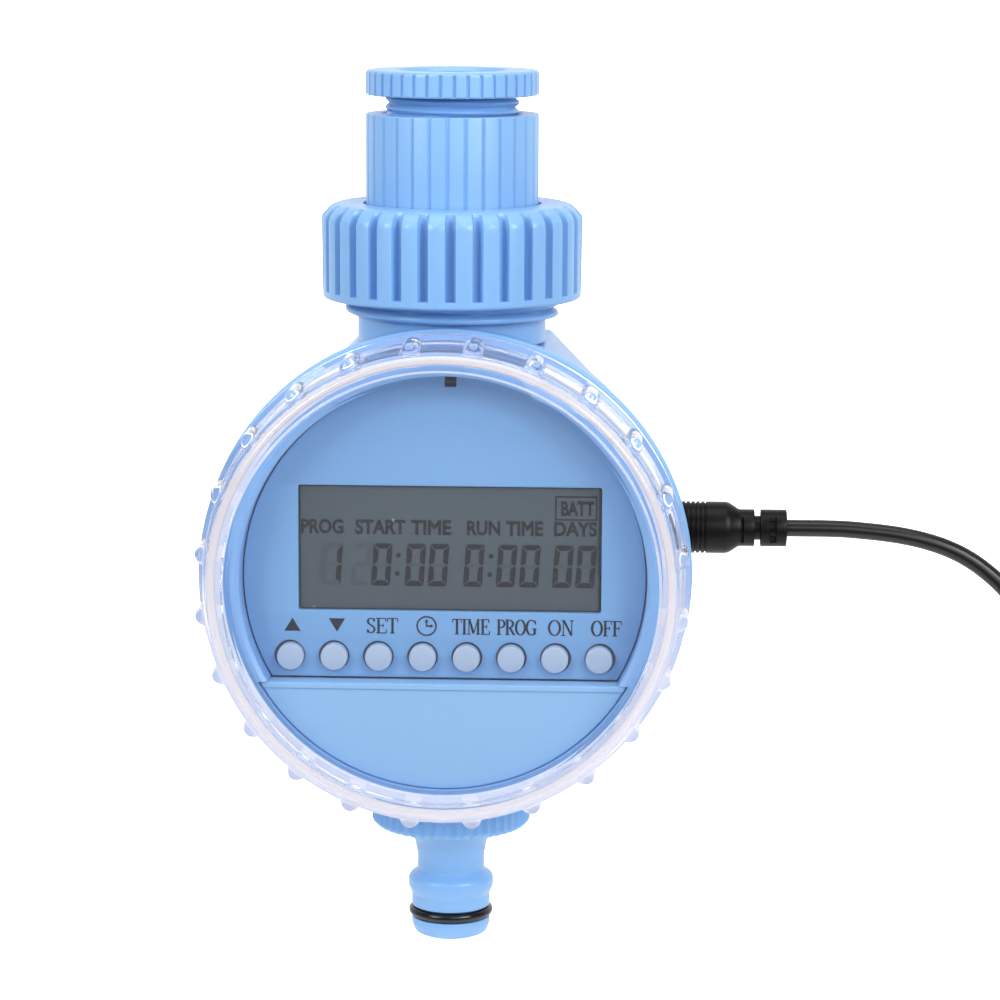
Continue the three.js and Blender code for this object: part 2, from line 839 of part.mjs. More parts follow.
piece("outlet_nipple", BLUE, outletNipple());
piece("outlet_washer", BLACK_RUBBER, ringZ(7, 12.8, -148.9, -147.3));
piece(
  "nipple_oring",
  BLACK_RUBBER,
  turnedZ(
    [
      [7.2, -170.9],
      [7.9, -170.95],
      [8.39, -170.4],
      [8.39, -169.6],
      [7.9, -169.05],
      [7.2, -169.1],
    ],
  ),
);

// ---------------------------------------------------------------- plug and lead

/** A piece turned about the plug's axis: heights are x. */
const onPlug = (profile, segments) =>
  turnedX(profile, segments).translate(0, -PLUG.d, PLUG.z);

piece(
  "dc_plug_body",
  BLACK_PLASTIC,
  onPlug(
    [
      [0, PLUG.nose + GAP],
      [4.7, PLUG.nose + GAP],
      [PLUG.gripR, PLUG.nose + 0.8],
      [PLUG.gripR, 55.3],
      [PLUG.reliefR, 57.5],
      [0, 57.5],
    ],
  ),
);
piece(
  "dc_plug_barrel",
  STEEL,
  onPlug(
    [
      [1.25, 34.2],
      [2.75, 34.2],
      [2.75, PLUG.nose],
      [0, PLUG.nose],
      [0, 42],
      [1.25, 42],
    ],
  ),
);
piece(
  "dc_strain_relief",
  BLACK_RUBBER,
  onPlug(
    [
      [0, 57.8],
      [PLUG.reliefR, 57.8],
      [PLUG.reliefR, 60.4],
      [2.4, 60.4],
      [2.4, 61.6],
      [PLUG.reliefR, 61.6],
      [PLUG.reliefR, PLUG.end],
      [0, PLUG.end],
    ],
  ),
);
piece("power_cable", BLACK_RUBBER, tube(LEAD_ROUTE, CABLE.d, CABLE.sides, 22));

const coilBevel = 1.5;
piece(
  "cable_coil",
  BLACK_RUBBER,
  turnedX(
    [
      [COIL.meanR - COIL.half, -COIL.half + coilBevel],
      [COIL.meanR - COIL.half + coilBevel, -COIL.half],
      [COIL.meanR + COIL.half - coilBevel, -COIL.half],
      [COIL.meanR + COIL.half, -COIL.half + coilBevel],
      [COIL.meanR + COIL.half, COIL.half - coilBevel],
      [COIL.meanR + COIL.half - coilBevel, COIL.half],
      [COIL.meanR - COIL.half + coilBevel, COIL.half],
      [COIL.meanR - COIL.half, COIL.half - coilBevel],
    ],
    SEGMENTS.pipe,
  ).translate(COIL.x, COIL.y, COIL.z),
);

/** The tie round the coil's bundle, at its lowest point. */
function coilTie() {
  const outer = COIL.half + 1.4;
  const inner = COIL.half + 0.5;
  const middle = COIL.z - COIL.meanR;
  const width = 5;
  const ring = [-1, 1].flatMap((sx) => [
    [COIL.x + sx * outer, middle - sx * outer],
    [COIL.x + sx * outer, middle + sx * outer],
  ]);
  const open = new THREE.Path(
    [-1, 1].flatMap((sx) => [
      new THREE.Vector2(COIL.x + sx * inner, middle - sx * inner),
      new THREE.Vector2(COIL.x + sx * inner, middle + sx * inner),
    ]),
  );
  const front = -COIL.y - width / 2;
  return slab(ring, front, front + width, [open]);
}

piece("coil_tie", BLACK_PLASTIC, coilTie());
piece("cable_tail", BLACK_RUBBER, tube(TAIL_ROUTE, CABLE.d, CABLE.sides, 9));
piece(
  "usb_plug_body",
  BLACK_PLASTIC,
  new THREE.BoxGeometry(8, 16, 20).translate(129, -11.5, -137.3),
);
piece(
  "usb_plug_shell",
  STEEL,
  new THREE.BoxGeometry(4.5, 12, 12).translate(129, -11.5, -153.6),
);

export default timer;
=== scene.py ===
"""Drip irrigation timer: the looks of each piece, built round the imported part.

Lengths are millimetres while a piece is shaped and metres once it is fitted. "Forward" is
towards -Y, measured from the pipe's axis, and the origin is the centre of the tap adaptor's
top opening.
"""

import logging
import math
from dataclasses import dataclass, field
from enum import Enum
from functools import cache

import bmesh
import bpy
from mathutils import Matrix, Vector


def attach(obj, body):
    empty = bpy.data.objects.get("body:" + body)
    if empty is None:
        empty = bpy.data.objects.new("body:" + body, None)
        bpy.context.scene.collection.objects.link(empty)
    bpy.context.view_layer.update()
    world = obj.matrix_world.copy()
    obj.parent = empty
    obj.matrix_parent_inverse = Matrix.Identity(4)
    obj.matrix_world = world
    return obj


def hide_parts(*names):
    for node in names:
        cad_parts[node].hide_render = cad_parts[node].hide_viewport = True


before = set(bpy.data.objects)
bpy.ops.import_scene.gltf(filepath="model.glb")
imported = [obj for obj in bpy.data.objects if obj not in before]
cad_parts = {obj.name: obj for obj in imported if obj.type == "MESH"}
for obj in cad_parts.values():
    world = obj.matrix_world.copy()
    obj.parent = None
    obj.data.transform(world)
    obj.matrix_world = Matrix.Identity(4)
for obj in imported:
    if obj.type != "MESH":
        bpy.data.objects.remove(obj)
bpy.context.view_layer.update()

LOG = logging.getLogger("timer")
MM = 0.001
TAU = 2 * math.pi
DIAL_Z = -96.7
PIPE_SEGMENTS = 128
DIAL_SEGMENTS = 256
Profile = list[tuple[float, ...]]


class Facing(Enum):
    """Which way a turned piece's axis points, as the columns of its rotation."""

    UP = ((1, 0, 0), (0, 1, 0), (0, 0, 1))
    FORWARD = ((1, 0, 0), (0, 0, 1), (0, -1, 0))
    RIGHT = ((0, 1, 0), (0, 0, 1), (1, 0, 0))

    def matrix(self, centre: tuple[float, float, float] = (0, 0, 0)) -> Matrix:
        """Returns the matrix from the piece's own millimetres to the part's metres."""
        turn = Matrix(self.value).transposed().to_4x4()
        return Matrix.Scale(MM, 4) @ Matrix.Translation(centre) @ turn


ON_DIAL = (0, 0, DIAL_Z)


# ---------------------------------------------------------------- outlines


def rounded(corners: Profile, steps: int = 4) -> Profile:
    """Rounds the corners of a closed outline.

    Args:
        corners: (a, b) or (a, b, radius) for each corner.
        steps: Pieces in each rounded corner.

    Returns:
        The outline's points, (a, b) each.
    """
    out: Profile = []
    for i, corner in enumerate(corners):
        here = Vector(corner[:2])
        radius = corner[2] if len(corner) > 2 else 0
        before = Vector(corners[i - 1][:2]) - here
        after = Vector(corners[(i + 1) % len(corners)][:2]) - here
        angle = before.angle(after, 0) if before.length and after.length else 0
        if not radius or angle < 0.05 or angle > math.pi - 0.05:
            out.append((here.x, here.y))
            continue
        reach = radius / math.tan(angle / 2)
        limit = 0.49 * min(before.length, after.length)
        if reach > limit:
            reach, radius = limit, limit * math.tan(angle / 2)
        start, end = here + before.normalized() * reach, here + after.normalized() * reach
        middle = here + (before.normalized() + after.normalized()).normalized() * (
            radius / math.sin(angle / 2)
        )
        for k in range(steps + 1):
            point = (start - middle).lerp(end - middle, k / steps).normalized() * radius + middle
            out.append((point.x, point.y))
    return out


def dense(profile: Profile, step: float, low: float, high: float) -> Profile:
    """Adds points to the long edges of a profile between two heights.

    Args:
        profile: (radius, height) points of a closed outline.
        step: The longest edge that stays whole.
        low: The lower height.
        high: The upper height.

    Returns:
        The profile with the added points.
    """
    out: Profile = []
    for i, (r, h) in enumerate(profile):
        r2, h2 = profile[(i + 1) % len(profile)]
        out.append((r, h))
        if max(h, h2) < low or min(h, h2) > high or abs(h2 - h) < step:
            continue
        count = math.ceil(abs(h2 - h) / step)
        out += [(r + (r2 - r) * k / count, h + (h2 - h) * k / count) for k in range(1, count)]
    return out


def even(segments: int) -> list[float]:
    """Returns evenly spaced angles round a turned piece."""
    return [TAU * i / segments for i in range(segments)]


def stations(count: int, share: float, marks: tuple[float, ...], rest: int = 2) -> list[float]:
    """Angles round a turned piece, closest together where a repeated shape changes.

    Args:
        count: How often the shape repeats.
        share: The share of each pitch that it takes.
        marks: Places across half the shape, 0 in its middle and 1 at its edge.
        rest: Extra places between two shapes.

    Returns:
        The angles in order.
    """
    half = [m * share / 2 for m in marks]
    edge = half[-1]
    between = [edge + (1 - 2 * edge) * (k + 1) / (rest + 1) for k in range(rest)]
    pitch = sorted({-h for h in half} | set(half) | set(between))
    return [(i + 0.5 + p) * TAU / count for i in range(count) for p in pitch]


STEEP = (0, 0.5, 0.75, 0.88, 0.95, 1.0, 1.08)
ROUND = (0, 0.2, 0.4, 0.56, 0.7, 0.81, 0.9, 0.96, 1.0, 1.05)


# ---------------------------------------------------------------- meshes


def turned(profile: Profile, angles: list[float]) -> bpy.types.Mesh:
    """Turns a closed outline about the Z axis into a closed mesh.

    Args:
        profile: (radius, height) points of the outline.
        angles: The angles that it stands at, in order.

    Returns:
        The mesh.
    """
    work = bmesh.new()
    rings = []
    for r, h in profile:
        if r < 1e-6:
            rings.append([work.verts.new((0, 0, h))])
        else:
            rings.append([work.verts.new((r * math.cos(a), r * math.sin(a), h)) for a in angles])
    count = len(angles)
    for ring, other in zip(rings, rings[1:] + rings[:1]):
        for i in range(count):
            j = (i + 1) % count
            corners = [ring[i % len(ring)], ring[j % len(ring)]]
            corners += [other[j % len(other)], other[i % len(other)]]
            distinct = list(dict.fromkeys(corners))
            if len(distinct) > 2:
                work.faces.new(distinct)
    return meshed(work)


def meshed(work: bmesh.types.BMesh) -> bpy.types.Mesh:
    """Turns working geometry into a mesh with its faces outward.

    Args:
        work: The geometry, which is used up.

    Returns:
        The mesh.
    """
    bmesh.ops.remove_doubles(work, verts=work.verts, dist=1e-5)
    bmesh.ops.recalc_face_normals(work, faces=work.faces)
    mesh = bpy.data.meshes.new("shape")
    work.to_mesh(mesh)
    work.free()
    return mesh


def joined(*meshes: bpy.types.Mesh) -> bpy.types.Mesh:
    """Puts several meshes side by side into one.

    Args:
        meshes: The meshes.

    Returns:
        The new mesh.
    """
    work = bmesh.new()
    for mesh in meshes:
        work.from_mesh(mesh)
    mesh = bpy.data.meshes.new("shape")
    work.to_mesh(mesh)
    work.free()
    return mesh


def moved(mesh: bpy.types.Mesh, matrix: Matrix) -> bpy.types.Mesh:
    """Moves a mesh's points and returns it."""
    mesh.transform(matrix)
    return mesh


def box(low: tuple[float, ...], high: tuple[float, ...], bevel: float = 0) -> bpy.types.Mesh:
    """Makes a box between two corners.

    Args:
        low: The corner with the lowest numbers.
        high: The corner with the highest numbers.
        bevel: How far its edges are rounded, or 0.

    Returns:
        The box.
    """
    work = bmesh.new()
    size = [b - a for a, b in zip(low, high)]
    middle = [(a + b) / 2 for a, b in zip(low, high)]
    bmesh.ops.create_cube(work, size=1, matrix=Matrix.LocRotScale(middle, None, size))
    if bevel:
        edges = list(work.edges)
        bmesh.ops.bevel(work, geom=edges, offset=bevel, segments=4, profile=0.5, affect="EDGES")
    return meshed(work)


def with_temporary(mesh: bpy.types.Mesh) -> bpy.types.Object:
    """Puts a mesh or curve on an object that lives only while modifiers work on it.

    Args:
        mesh: The mesh or curve.

    Returns:
        The object.
    """
    temporary = bpy.data.objects.new("temporary", mesh)
    bpy.context.scene.collection.objects.link(temporary)
    return temporary


def taken(temporary: bpy.types.Object) -> bpy.types.Mesh:
    """Takes the evaluated mesh from a temporary object and removes the object.

    Args:
        temporary: The object.

    Returns:
        Its mesh after its modifiers.
    """
    graph = bpy.context.evaluated_depsgraph_get()
    mesh = bpy.data.meshes.new_from_object(temporary.evaluated_get(graph), depsgraph=graph)
    bpy.data.objects.remove(temporary)
    return mesh


def carved(mesh: bpy.types.Mesh, operation: str, *tools: bpy.types.Mesh) -> bpy.types.Mesh:
    """Joins tools to a mesh or cuts them out of it.

    Args:
        mesh: The mesh to start from.
        operation: UNION or DIFFERENCE.
        tools: The meshes to join or cut.

    Returns:
        The result as one mesh.
    """
    temporary = with_temporary(mesh)
    helpers = [with_temporary(tool) for tool in tools]
    for helper in helpers:
        step = temporary.modifiers.new("carve", "BOOLEAN")
        step.operation, step.solver, step.object = operation, "EXACT", helper
    result = taken(temporary)
    for helper in helpers:
        bpy.data.objects.remove(helper)
    return result


def plate(
    outline: Profile, depth: tuple[float, float], bevel: float, holes: tuple[Profile, ...] = ()
) -> bpy.types.Mesh:
    """A flat plate with rounded edges.

    Args:
        outline: Its outline in the XY plane.
        depth: The heights of its two faces.
        bevel: How far its edges are rounded.
        holes: Outlines of the openings in it.

    Returns:
        The plate as a closed mesh.
    """
    curve = bpy.data.curves.new("plate", "CURVE")
    curve.dimensions, curve.fill_mode = "2D", "BOTH"
    for loop in (outline, *holes):
        spline = curve.splines.new("POLY")
        spline.points.add(len(loop) - 1)
        for point, (x, y) in zip(spline.points, loop):
            point.co = (x, y, 0, 1)
        spline.use_cyclic_u = True
    curve.extrude = (depth[1] - depth[0]) / 2 - bevel
    curve.bevel_depth, curve.bevel_resolution, curve.offset = bevel, 2, -bevel
    mesh = taken(with_temporary(curve))
    work = bmesh.new()
    work.from_mesh(mesh)
    bmesh.ops.translate(work, verts=work.verts, vec=(0, 0, sum(depth) / 2))
    bmesh.ops.remove_doubles(work, verts=work.verts, dist=1e-4)
    return meshed(work)


def circle(x: float, y: float, radius: float, segments: int = 48) -> Profile:
    """Points on a circle."""
    return [(x + radius * math.cos(a), y + radius * math.sin(a)) for a in even(segments)]


def fitted(
    name: str,
    mesh: bpy.types.Mesh,
    finish: "Moulded | Clear",
    body: str,
    nodes: tuple[str, ...] = (),
    sharp: float = 33,
) -> bpy.types.Object:
    """Makes a finished piece and fits it to the part.

    Args:
        name: The piece's name.
        mesh: Its mesh, in place and in metres.
        finish: Its finish.
        body: The moving body that it rides on.
        nodes: The CAD nodes that it stands for.
        sharp: Edges that turn by more degrees than this stay sharp.

    Returns:
        The new object.
    """
    mesh.name = name
    mesh.shade_smooth()
    mesh.set_sharp_from_angle(angle=math.radians(sharp))
    mesh.materials.clear()
    mesh.materials.append(finish.material())
    piece = bpy.data.objects.new(name, mesh)
    bpy.context.scene.collection.objects.link(piece)
    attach(piece, body)
    if nodes:
        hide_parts(*nodes)
    LOG.info("%s rides on %s", name, body)
    return piece


# ---------------------------------------------------------------- node trees


class Wire:
    """A number on its way through a node tree; sums on it add maths nodes."""

    def __init__(self, tree: bpy.types.NodeTree, socket: bpy.types.NodeSocket) -> None:
        """Holds a socket and the tree that it is in."""
        self.tree, self.socket = tree, socket

    def maths(self, operation: str, *others: "Wire | float") -> "Wire":
        """Adds one maths node with this wire first.

        Args:
            operation: The node's operation.
            others: Its other values.

        Returns:
            The node's result.
        """
        node = self.tree.nodes.new("ShaderNodeMath")
        node.operation = operation
        for slot, value in zip(node.inputs, (self, *others)):
            if isinstance(value, Wire):
                self.tree.links.new(value.socket, slot)
            else:
                slot.default_value = value
        return Wire(self.tree, node.outputs[0])

    def __add__(self, other: "Wire | float") -> "Wire":
        """Adds."""
        return self.maths("ADD", other)

    def __sub__(self, other: "Wire | float") -> "Wire":
        """Subtracts."""
        return self.maths("SUBTRACT", other)

    def __mul__(self, other: "Wire | float") -> "Wire":
        """Multiplies."""
        return self.maths("MULTIPLY", other)

    def __truediv__(self, other: "Wire | float") -> "Wire":
        """Divides."""
        return self.maths("DIVIDE", other)

    def smooth(self, low: "Wire | float", high: "Wire | float") -> "Wire":
        """Rises smoothly from 0 to 1.

        Args:
            low: Where it is 0.
            high: Where it is 1.

        Returns:
            The result.
        """
        node = self.tree.nodes.new("ShaderNodeMapRange")
        node.interpolation_type = "SMOOTHSTEP"
        for name, value in (("Value", self), ("From Min", low), ("From Max", high)):
            if isinstance(value, Wire):
                self.tree.links.new(value.socket, node.inputs[name])
            else:
                node.inputs[name].default_value = value
        return Wire(self.tree, node.outputs[0])


class Tree:
    """A node group with named inputs and outputs."""

    def __init__(
        self, name: str, kind: str, inputs: dict[str, str], outputs: dict[str, str]
    ) -> None:
        """Makes the group.

        Args:
            name: The group's name.
            kind: GeometryNodeTree or ShaderNodeTree.
            inputs: Each input's name and socket type.
            outputs: Each output's name and socket type.
        """
        self.group = bpy.data.node_groups.new(name, kind)
        self.sockets: dict[str, str] = {}
        for way, names in (("INPUT", inputs), ("OUTPUT", outputs)):
            for label, socket in names.items():
                made = self.group.interface.new_socket(
                    label, in_out=way, socket_type=f"NodeSocket{socket}"
                )
                if way == "INPUT":
                    self.sockets[label] = made.identifier
        self.start = self.group.nodes.new("NodeGroupInput")
        self.end = self.group.nodes.new("NodeGroupOutput")

    def node(self, kind: str, inputs: dict | None = None, **settings: object) -> bpy.types.Node:
        """Adds a node.

        Args:
            kind: The node's type.
            inputs: What goes into its sockets: wires, sockets or plain values.
            settings: Its own properties.

        Returns:
            The node.
        """
        return add_node(self.group, kind, inputs, **settings)

    def given(self, name: str) -> Wire:
        """Returns one of the group's inputs."""
        return Wire(self.group, self.start.outputs[name])


def add_node(
    tree: bpy.types.NodeTree, kind: str, inputs: dict | None = None, **settings: object
) -> bpy.types.Node:
    """Adds a node to a tree.

    Args:
        tree: The tree.
        kind: The node's type.
        inputs: What goes into its sockets: wires, sockets or plain values.
        settings: Its own properties.

    Returns:
        The node.
    """
    node = tree.nodes.new(kind)
    for key, value in settings.items():
        setattr(node, key, value)
    for name, value in (inputs or {}).items():
        if isinstance(value, Wire):
            value = value.socket
        if isinstance(value, bpy.types.NodeSocket):
            tree.links.new(value, node.inputs[name])
        else:
            node.inputs[name].default_value = value
    return node


def either(nodes: bpy.types.NodeTree, first: str, second: str) -> Wire:
    """Returns 1 for a ray of either of two kinds, and 0 for any other.

    Args:
        nodes: The material's or the world's tree.
        first: The Light Path output for the first kind.
        second: The Light Path output for the second kind.

    Returns:
        The wire.
    """
    path = add_node(nodes, "ShaderNodeLightPath")
    return Wire(nodes, path.outputs[first]).maths("MAXIMUM", Wire(nodes, path.outputs[second]))


@dataclass(frozen=True)
class Pattern:
    """A shape that repeats round a turned piece, or winds along it as a thread.

    Its surface moves to the target radius where the shape is.
    """

    count: float
    target: float
    share: float
    low: float
    high: float
    fade_low: float = 0.05
    fade_high: float = 0.05
    inner: float = 0
    outer: float = 1000
    power: float = 8
    crown: float = 1
    twist: float = 0
    phase: float = 0


PATTERN_INPUTS = tuple(Pattern.__dataclass_fields__)


def pattern_tree() -> Tree:
    """Builds the geometry tree that ribs, flutes, bumps and threads share.

    Returns:
        The tree.
    """
    numbers = {name: "Float" for name in PATTERN_INPUTS}
    tree = Tree(
        "radial_pattern",
        "GeometryNodeTree",
        {"Geometry": "Geometry", **numbers, "Material": "Material"},
        {"Geometry": "Geometry"},
    )
    g = tree.given
    place = tree.node("GeometryNodeInputPosition")
    parts = tree.node("ShaderNodeSeparateXYZ", {0: place.outputs[0]})
    x, y, z = (Wire(tree.group, s) for s in parts.outputs)
    radius = (x * x + y * y).maths("SQRT")
    turn = y.maths("ARCTAN2", x) * g("count") / TAU + z * g("twist") + g("phase")
    across = (turn.maths("FRACT") - 0.5).maths("ABSOLUTE") * 2 / g("share")
    shape = (across.maths("POWER", g("power")) * -1 + 1).maths("MAXIMUM", 0)
    shape = shape.maths("POWER", g("crown"))
    window = z.smooth(g("low"), g("low") + g("fade_low"))
    window = window * (z.smooth(g("high") - g("fade_high"), g("high")) * -1 + 1)
    side = radius.maths("GREATER_THAN", g("inner")) * radius.maths("LESS_THAN", g("outer"))
    stretch = (g("target") - radius) * shape * window * side / radius + 1
    new = tree.node("ShaderNodeCombineXYZ", {"X": x * stretch, "Y": y * stretch, "Z": z})
    shaped = tree.node(
        "GeometryNodeSetPosition", {"Geometry": g("Geometry"), "Position": new.outputs[0]}
    )
    close_tree(tree, shaped.outputs[0])
    return tree


def close_tree(tree: Tree, geometry: bpy.types.NodeSocket) -> None:
    """Ends a geometry tree: real geometry, its material, and out.

    Args:
        tree: The tree.
        geometry: What it has made.
    """
    real = tree.node("GeometryNodeRealizeInstances", {"Geometry": geometry})
    dressed = tree.node(
        "GeometryNodeSetMaterial", {"Geometry": real.outputs[0], "Material": tree.given("Material")}
    )
    tree.group.links.new(dressed.outputs[0], tree.end.inputs["Geometry"])


def corner_tree() -> Tree:
    """Builds the geometry tree that sets one object at a rectangle's four corners.

    Returns:
        The tree.
    """
    tree = Tree(
        "four_corners",
        "GeometryNodeTree",
        {"Geometry": "Geometry", "Width": "Float", "Height": "Float", "Material": "Material"},
        {"Geometry": "Geometry"},
    )
    size = {"Size X": tree.given("Width"), "Size Y": tree.given("Height")}
    grid = tree.node("GeometryNodeMeshGrid", {**size, "Vertices X": 2, "Vertices Y": 2})
    placed = tree.node(
        "GeometryNodeInstanceOnPoints",
        {"Points": grid.outputs[0], "Instance": tree.given("Geometry")},
    )
    close_tree(tree, placed.outputs[0])
    return tree


def ring_tree() -> Tree:
    """Builds the geometry tree that sets one object round a circle, facing outward.

    Returns:
        The tree.
    """
    tree = Tree(
        "round_a_circle",
        "GeometryNodeTree",
        {"Geometry": "Geometry", "Count": "Int", "Radius": "Float", "Material": "Material"},
        {"Geometry": "Geometry"},
    )
    round_line = tree.node(
        "GeometryNodeMeshCircle", {"Vertices": tree.given("Count"), "Radius": tree.given("Radius")}
    )
    place = tree.node("GeometryNodeInputPosition")
    facing = tree.node(
        "FunctionNodeAlignRotationToVector", {"Vector": place.outputs[0]}, axis="X", pivot_axis="Z"
    )
    placed = tree.node(
        "GeometryNodeInstanceOnPoints",
        {
            "Points": round_line.outputs[0],
            "Instance": tree.given("Geometry"),
            "Rotation": facing.outputs[0],
        },
    )
    close_tree(tree, placed.outputs[0])
    return tree


def grown(
    mesh: bpy.types.Mesh, tree: Tree, finish: "Moulded | Clear", values: dict[str, float]
) -> bpy.types.Mesh:
    """Runs a geometry tree on a mesh.

    Args:
        mesh: The mesh that goes in.
        tree: The tree.
        finish: The finish whose material the tree sets.
        values: The tree's named inputs.

    Returns:
        The result as a plain mesh.
    """
    temporary = with_temporary(mesh)
    step = temporary.modifiers.new("grow", "NODES")
    step.node_group = tree.group
    for name, value in {**values, "Material": finish.material()}.items():
        step[tree.sockets[name]] = value
    return taken(temporary)


def patterned(
    mesh: bpy.types.Mesh, finish: "Moulded | Clear", *patterns: Pattern
) -> bpy.types.Mesh:
    """Lays patterns on a turned mesh, one after another.

    Args:
        mesh: The mesh, still in its own millimetres and about its own Z axis.
        finish: Its finish.
        patterns: The patterns in order.

    Returns:
        The mesh with the patterns in its shape.
    """
    for pattern in patterns:
        values = {name: float(getattr(pattern, name)) for name in PATTERN_INPUTS}
        mesh = grown(mesh, PATTERNS, finish, values)
    return mesh


# ---------------------------------------------------------------- finishes


def rgb(code: str) -> tuple[float, float, float, float]:
    """Turns a colour code into linear light.

    Args:
        code: Six hexadecimal digits.

    Returns:
        Red, green, blue and alpha.
    """
    parts = [int(code[i : i + 2], 16) / 255 for i in (0, 2, 4)]
    linear = [c / 12.92 if c <= 0.04045 else ((c + 0.055) / 1.055) ** 2.4 for c in parts]
    return (*linear, 1.0)


def skin_tree() -> Tree:
    """Builds the shader group for moulded surfaces: drift in colour and gloss, and fine grain.

    Returns:
        The tree.
    """
    tree = Tree(
        "moulded_skin",
        "ShaderNodeTree",
        {
            "Vector": "Vector",
            "Colour": "Color",
            "Drift": "Float",
            "Drift Scale": "Float",
            "Gloss": "Float",
            "Gloss Drift": "Float",
            "Grain Scale": "Float",
        },
        {"Colour": "Color", "Roughness": "Float", "Height": "Float"},
    )
    g = tree.given
    slow = tree.node(
        "ShaderNodeTexNoise", {"Vector": g("Vector"), "Scale": g("Drift Scale"), "Detail": 3.0}
    )
    level = (Wire(tree.group, slow.outputs[0]) - 0.5) * g("Drift") + 1
    shade = tree.node("ShaderNodeVectorMath", {0: g("Colour"), 3: level}, operation="SCALE")
    patches = tree.node(
        "ShaderNodeTexNoise", {"Vector": g("Vector"), "Scale": g("Drift Scale") * 4, "Detail": 4.0}
    )
    rough = (Wire(tree.group, patches.outputs[0]) - 0.5) * g("Gloss Drift") + g("Gloss")
    grain = tree.node(
        "ShaderNodeTexNoise", {"Vector": g("Vector"), "Scale": g("Grain Scale"), "Detail": 2.0}
    )
    tree.group.links.new(shade.outputs[0], tree.end.inputs["Colour"])
    tree.group.links.new(rough.socket, tree.end.inputs["Roughness"])
    tree.group.links.new(grain.outputs[0], tree.end.inputs["Height"])
    return tree


def fleck_tree() -> Tree:
    """Builds the shader group for specks: a mask of scattered dots, some finer than others.

    Returns:
        The tree.
    """
    tree = Tree(
        "specks",
        "ShaderNodeTree",
        {"Vector": "Vector", "Scale": "Float", "Size": "Float", "Amount": "Float"},
        {"Mask": "Float"},
    )
    g = tree.given
    cells = tree.node("ShaderNodeTexVoronoi", {"Vector": g("Vector"), "Scale": g("Scale")})
    chance = tree.node("ShaderNodeSeparateColor", {0: cells.outputs["Color"]})
    near = Wire(tree.group, cells.outputs["Distance"])
    size = Wire(tree.group, chance.outputs[1]) * g("Size")
    dot = near.smooth(size, size * 0.4)
    few = Wire(tree.group, chance.outputs[0]).maths("LESS_THAN", g("Amount"))
    tree.group.links.new((dot * few).socket, tree.end.inputs["Mask"])
    return tree


@dataclass(frozen=True)
class Moulded:
    """A moulded, printed or drawn finish; lengths of its patterns are in repeats a metre."""

    name: str
    colour: str
    gloss: float = 0.38
    gloss_drift: float = 0.08
    drift: float = 0.07
    drift_scale: float = 30
    grain_scale: float = 1600
    grain: float = 0.04
    metallic: float = 0
    coat: float = 0
    specular: float = 0.5
    translucent: float = 0
    speck_colour: str = "ffffff"
    specks: float = 0
    speck_size: float = 0.4
    speck_scale: float = 900

    @cache
    def material(self) -> bpy.types.Material:
        """Makes the material the first time that it is asked for.

        Returns:
            The material.
        """
        material = bpy.data.materials.new(self.name)
        material.use_nodes = True
        nodes = material.node_tree
        shader = nodes.nodes["Principled BSDF"]
        place = add_node(nodes, "ShaderNodeTexCoord")
        skin = add_node(nodes, "ShaderNodeGroup", node_tree=SKIN.group)
        nodes.links.new(place.outputs["Object"], skin.inputs["Vector"])
        for name, value in (
            ("Colour", rgb(self.colour)),
            ("Drift", self.drift),
            ("Drift Scale", self.drift_scale),
            ("Gloss", self.gloss),
            ("Gloss Drift", self.gloss_drift),
            ("Grain Scale", self.grain_scale),
        ):
            skin.inputs[name].default_value = value
        colour = skin.outputs["Colour"]
        if self.specks:
            specks = add_node(nodes, "ShaderNodeGroup", node_tree=FLECKS.group)
            nodes.links.new(place.outputs["Object"], specks.inputs["Vector"])
            for name, value in (
                ("Scale", self.speck_scale),
                ("Size", self.speck_size),
                ("Amount", self.specks),
            ):
                specks.inputs[name].default_value = value
            mixed = add_node(
                nodes,
                "ShaderNodeMix",
                {0: specks.outputs[0], 6: colour, 7: rgb(self.speck_colour)},
                data_type="RGBA",
            )
            colour = mixed.outputs[2]
        bump = add_node(
            nodes,
            "ShaderNodeBump",
            {"Height": skin.outputs["Height"], "Strength": self.grain, "Distance": 0.0002},
        )
        nodes.links.new(colour, shader.inputs["Base Color"])
        nodes.links.new(skin.outputs["Roughness"], shader.inputs["Roughness"])
        nodes.links.new(bump.outputs[0], shader.inputs["Normal"])
        shader.inputs["Metallic"].default_value = self.metallic
        shader.inputs["Coat Weight"].default_value = self.coat
        shader.inputs["Coat Roughness"].default_value = 0.04
        shader.inputs["Specular IOR Level"].default_value = self.specular
        shader.inputs["Subsurface Weight"].default_value = self.translucent
        shader.inputs["Subsurface Radius"].default_value = (0.6, 0.8, 1.0)
        shader.inputs["Subsurface Scale"].default_value = 0.002
        return material


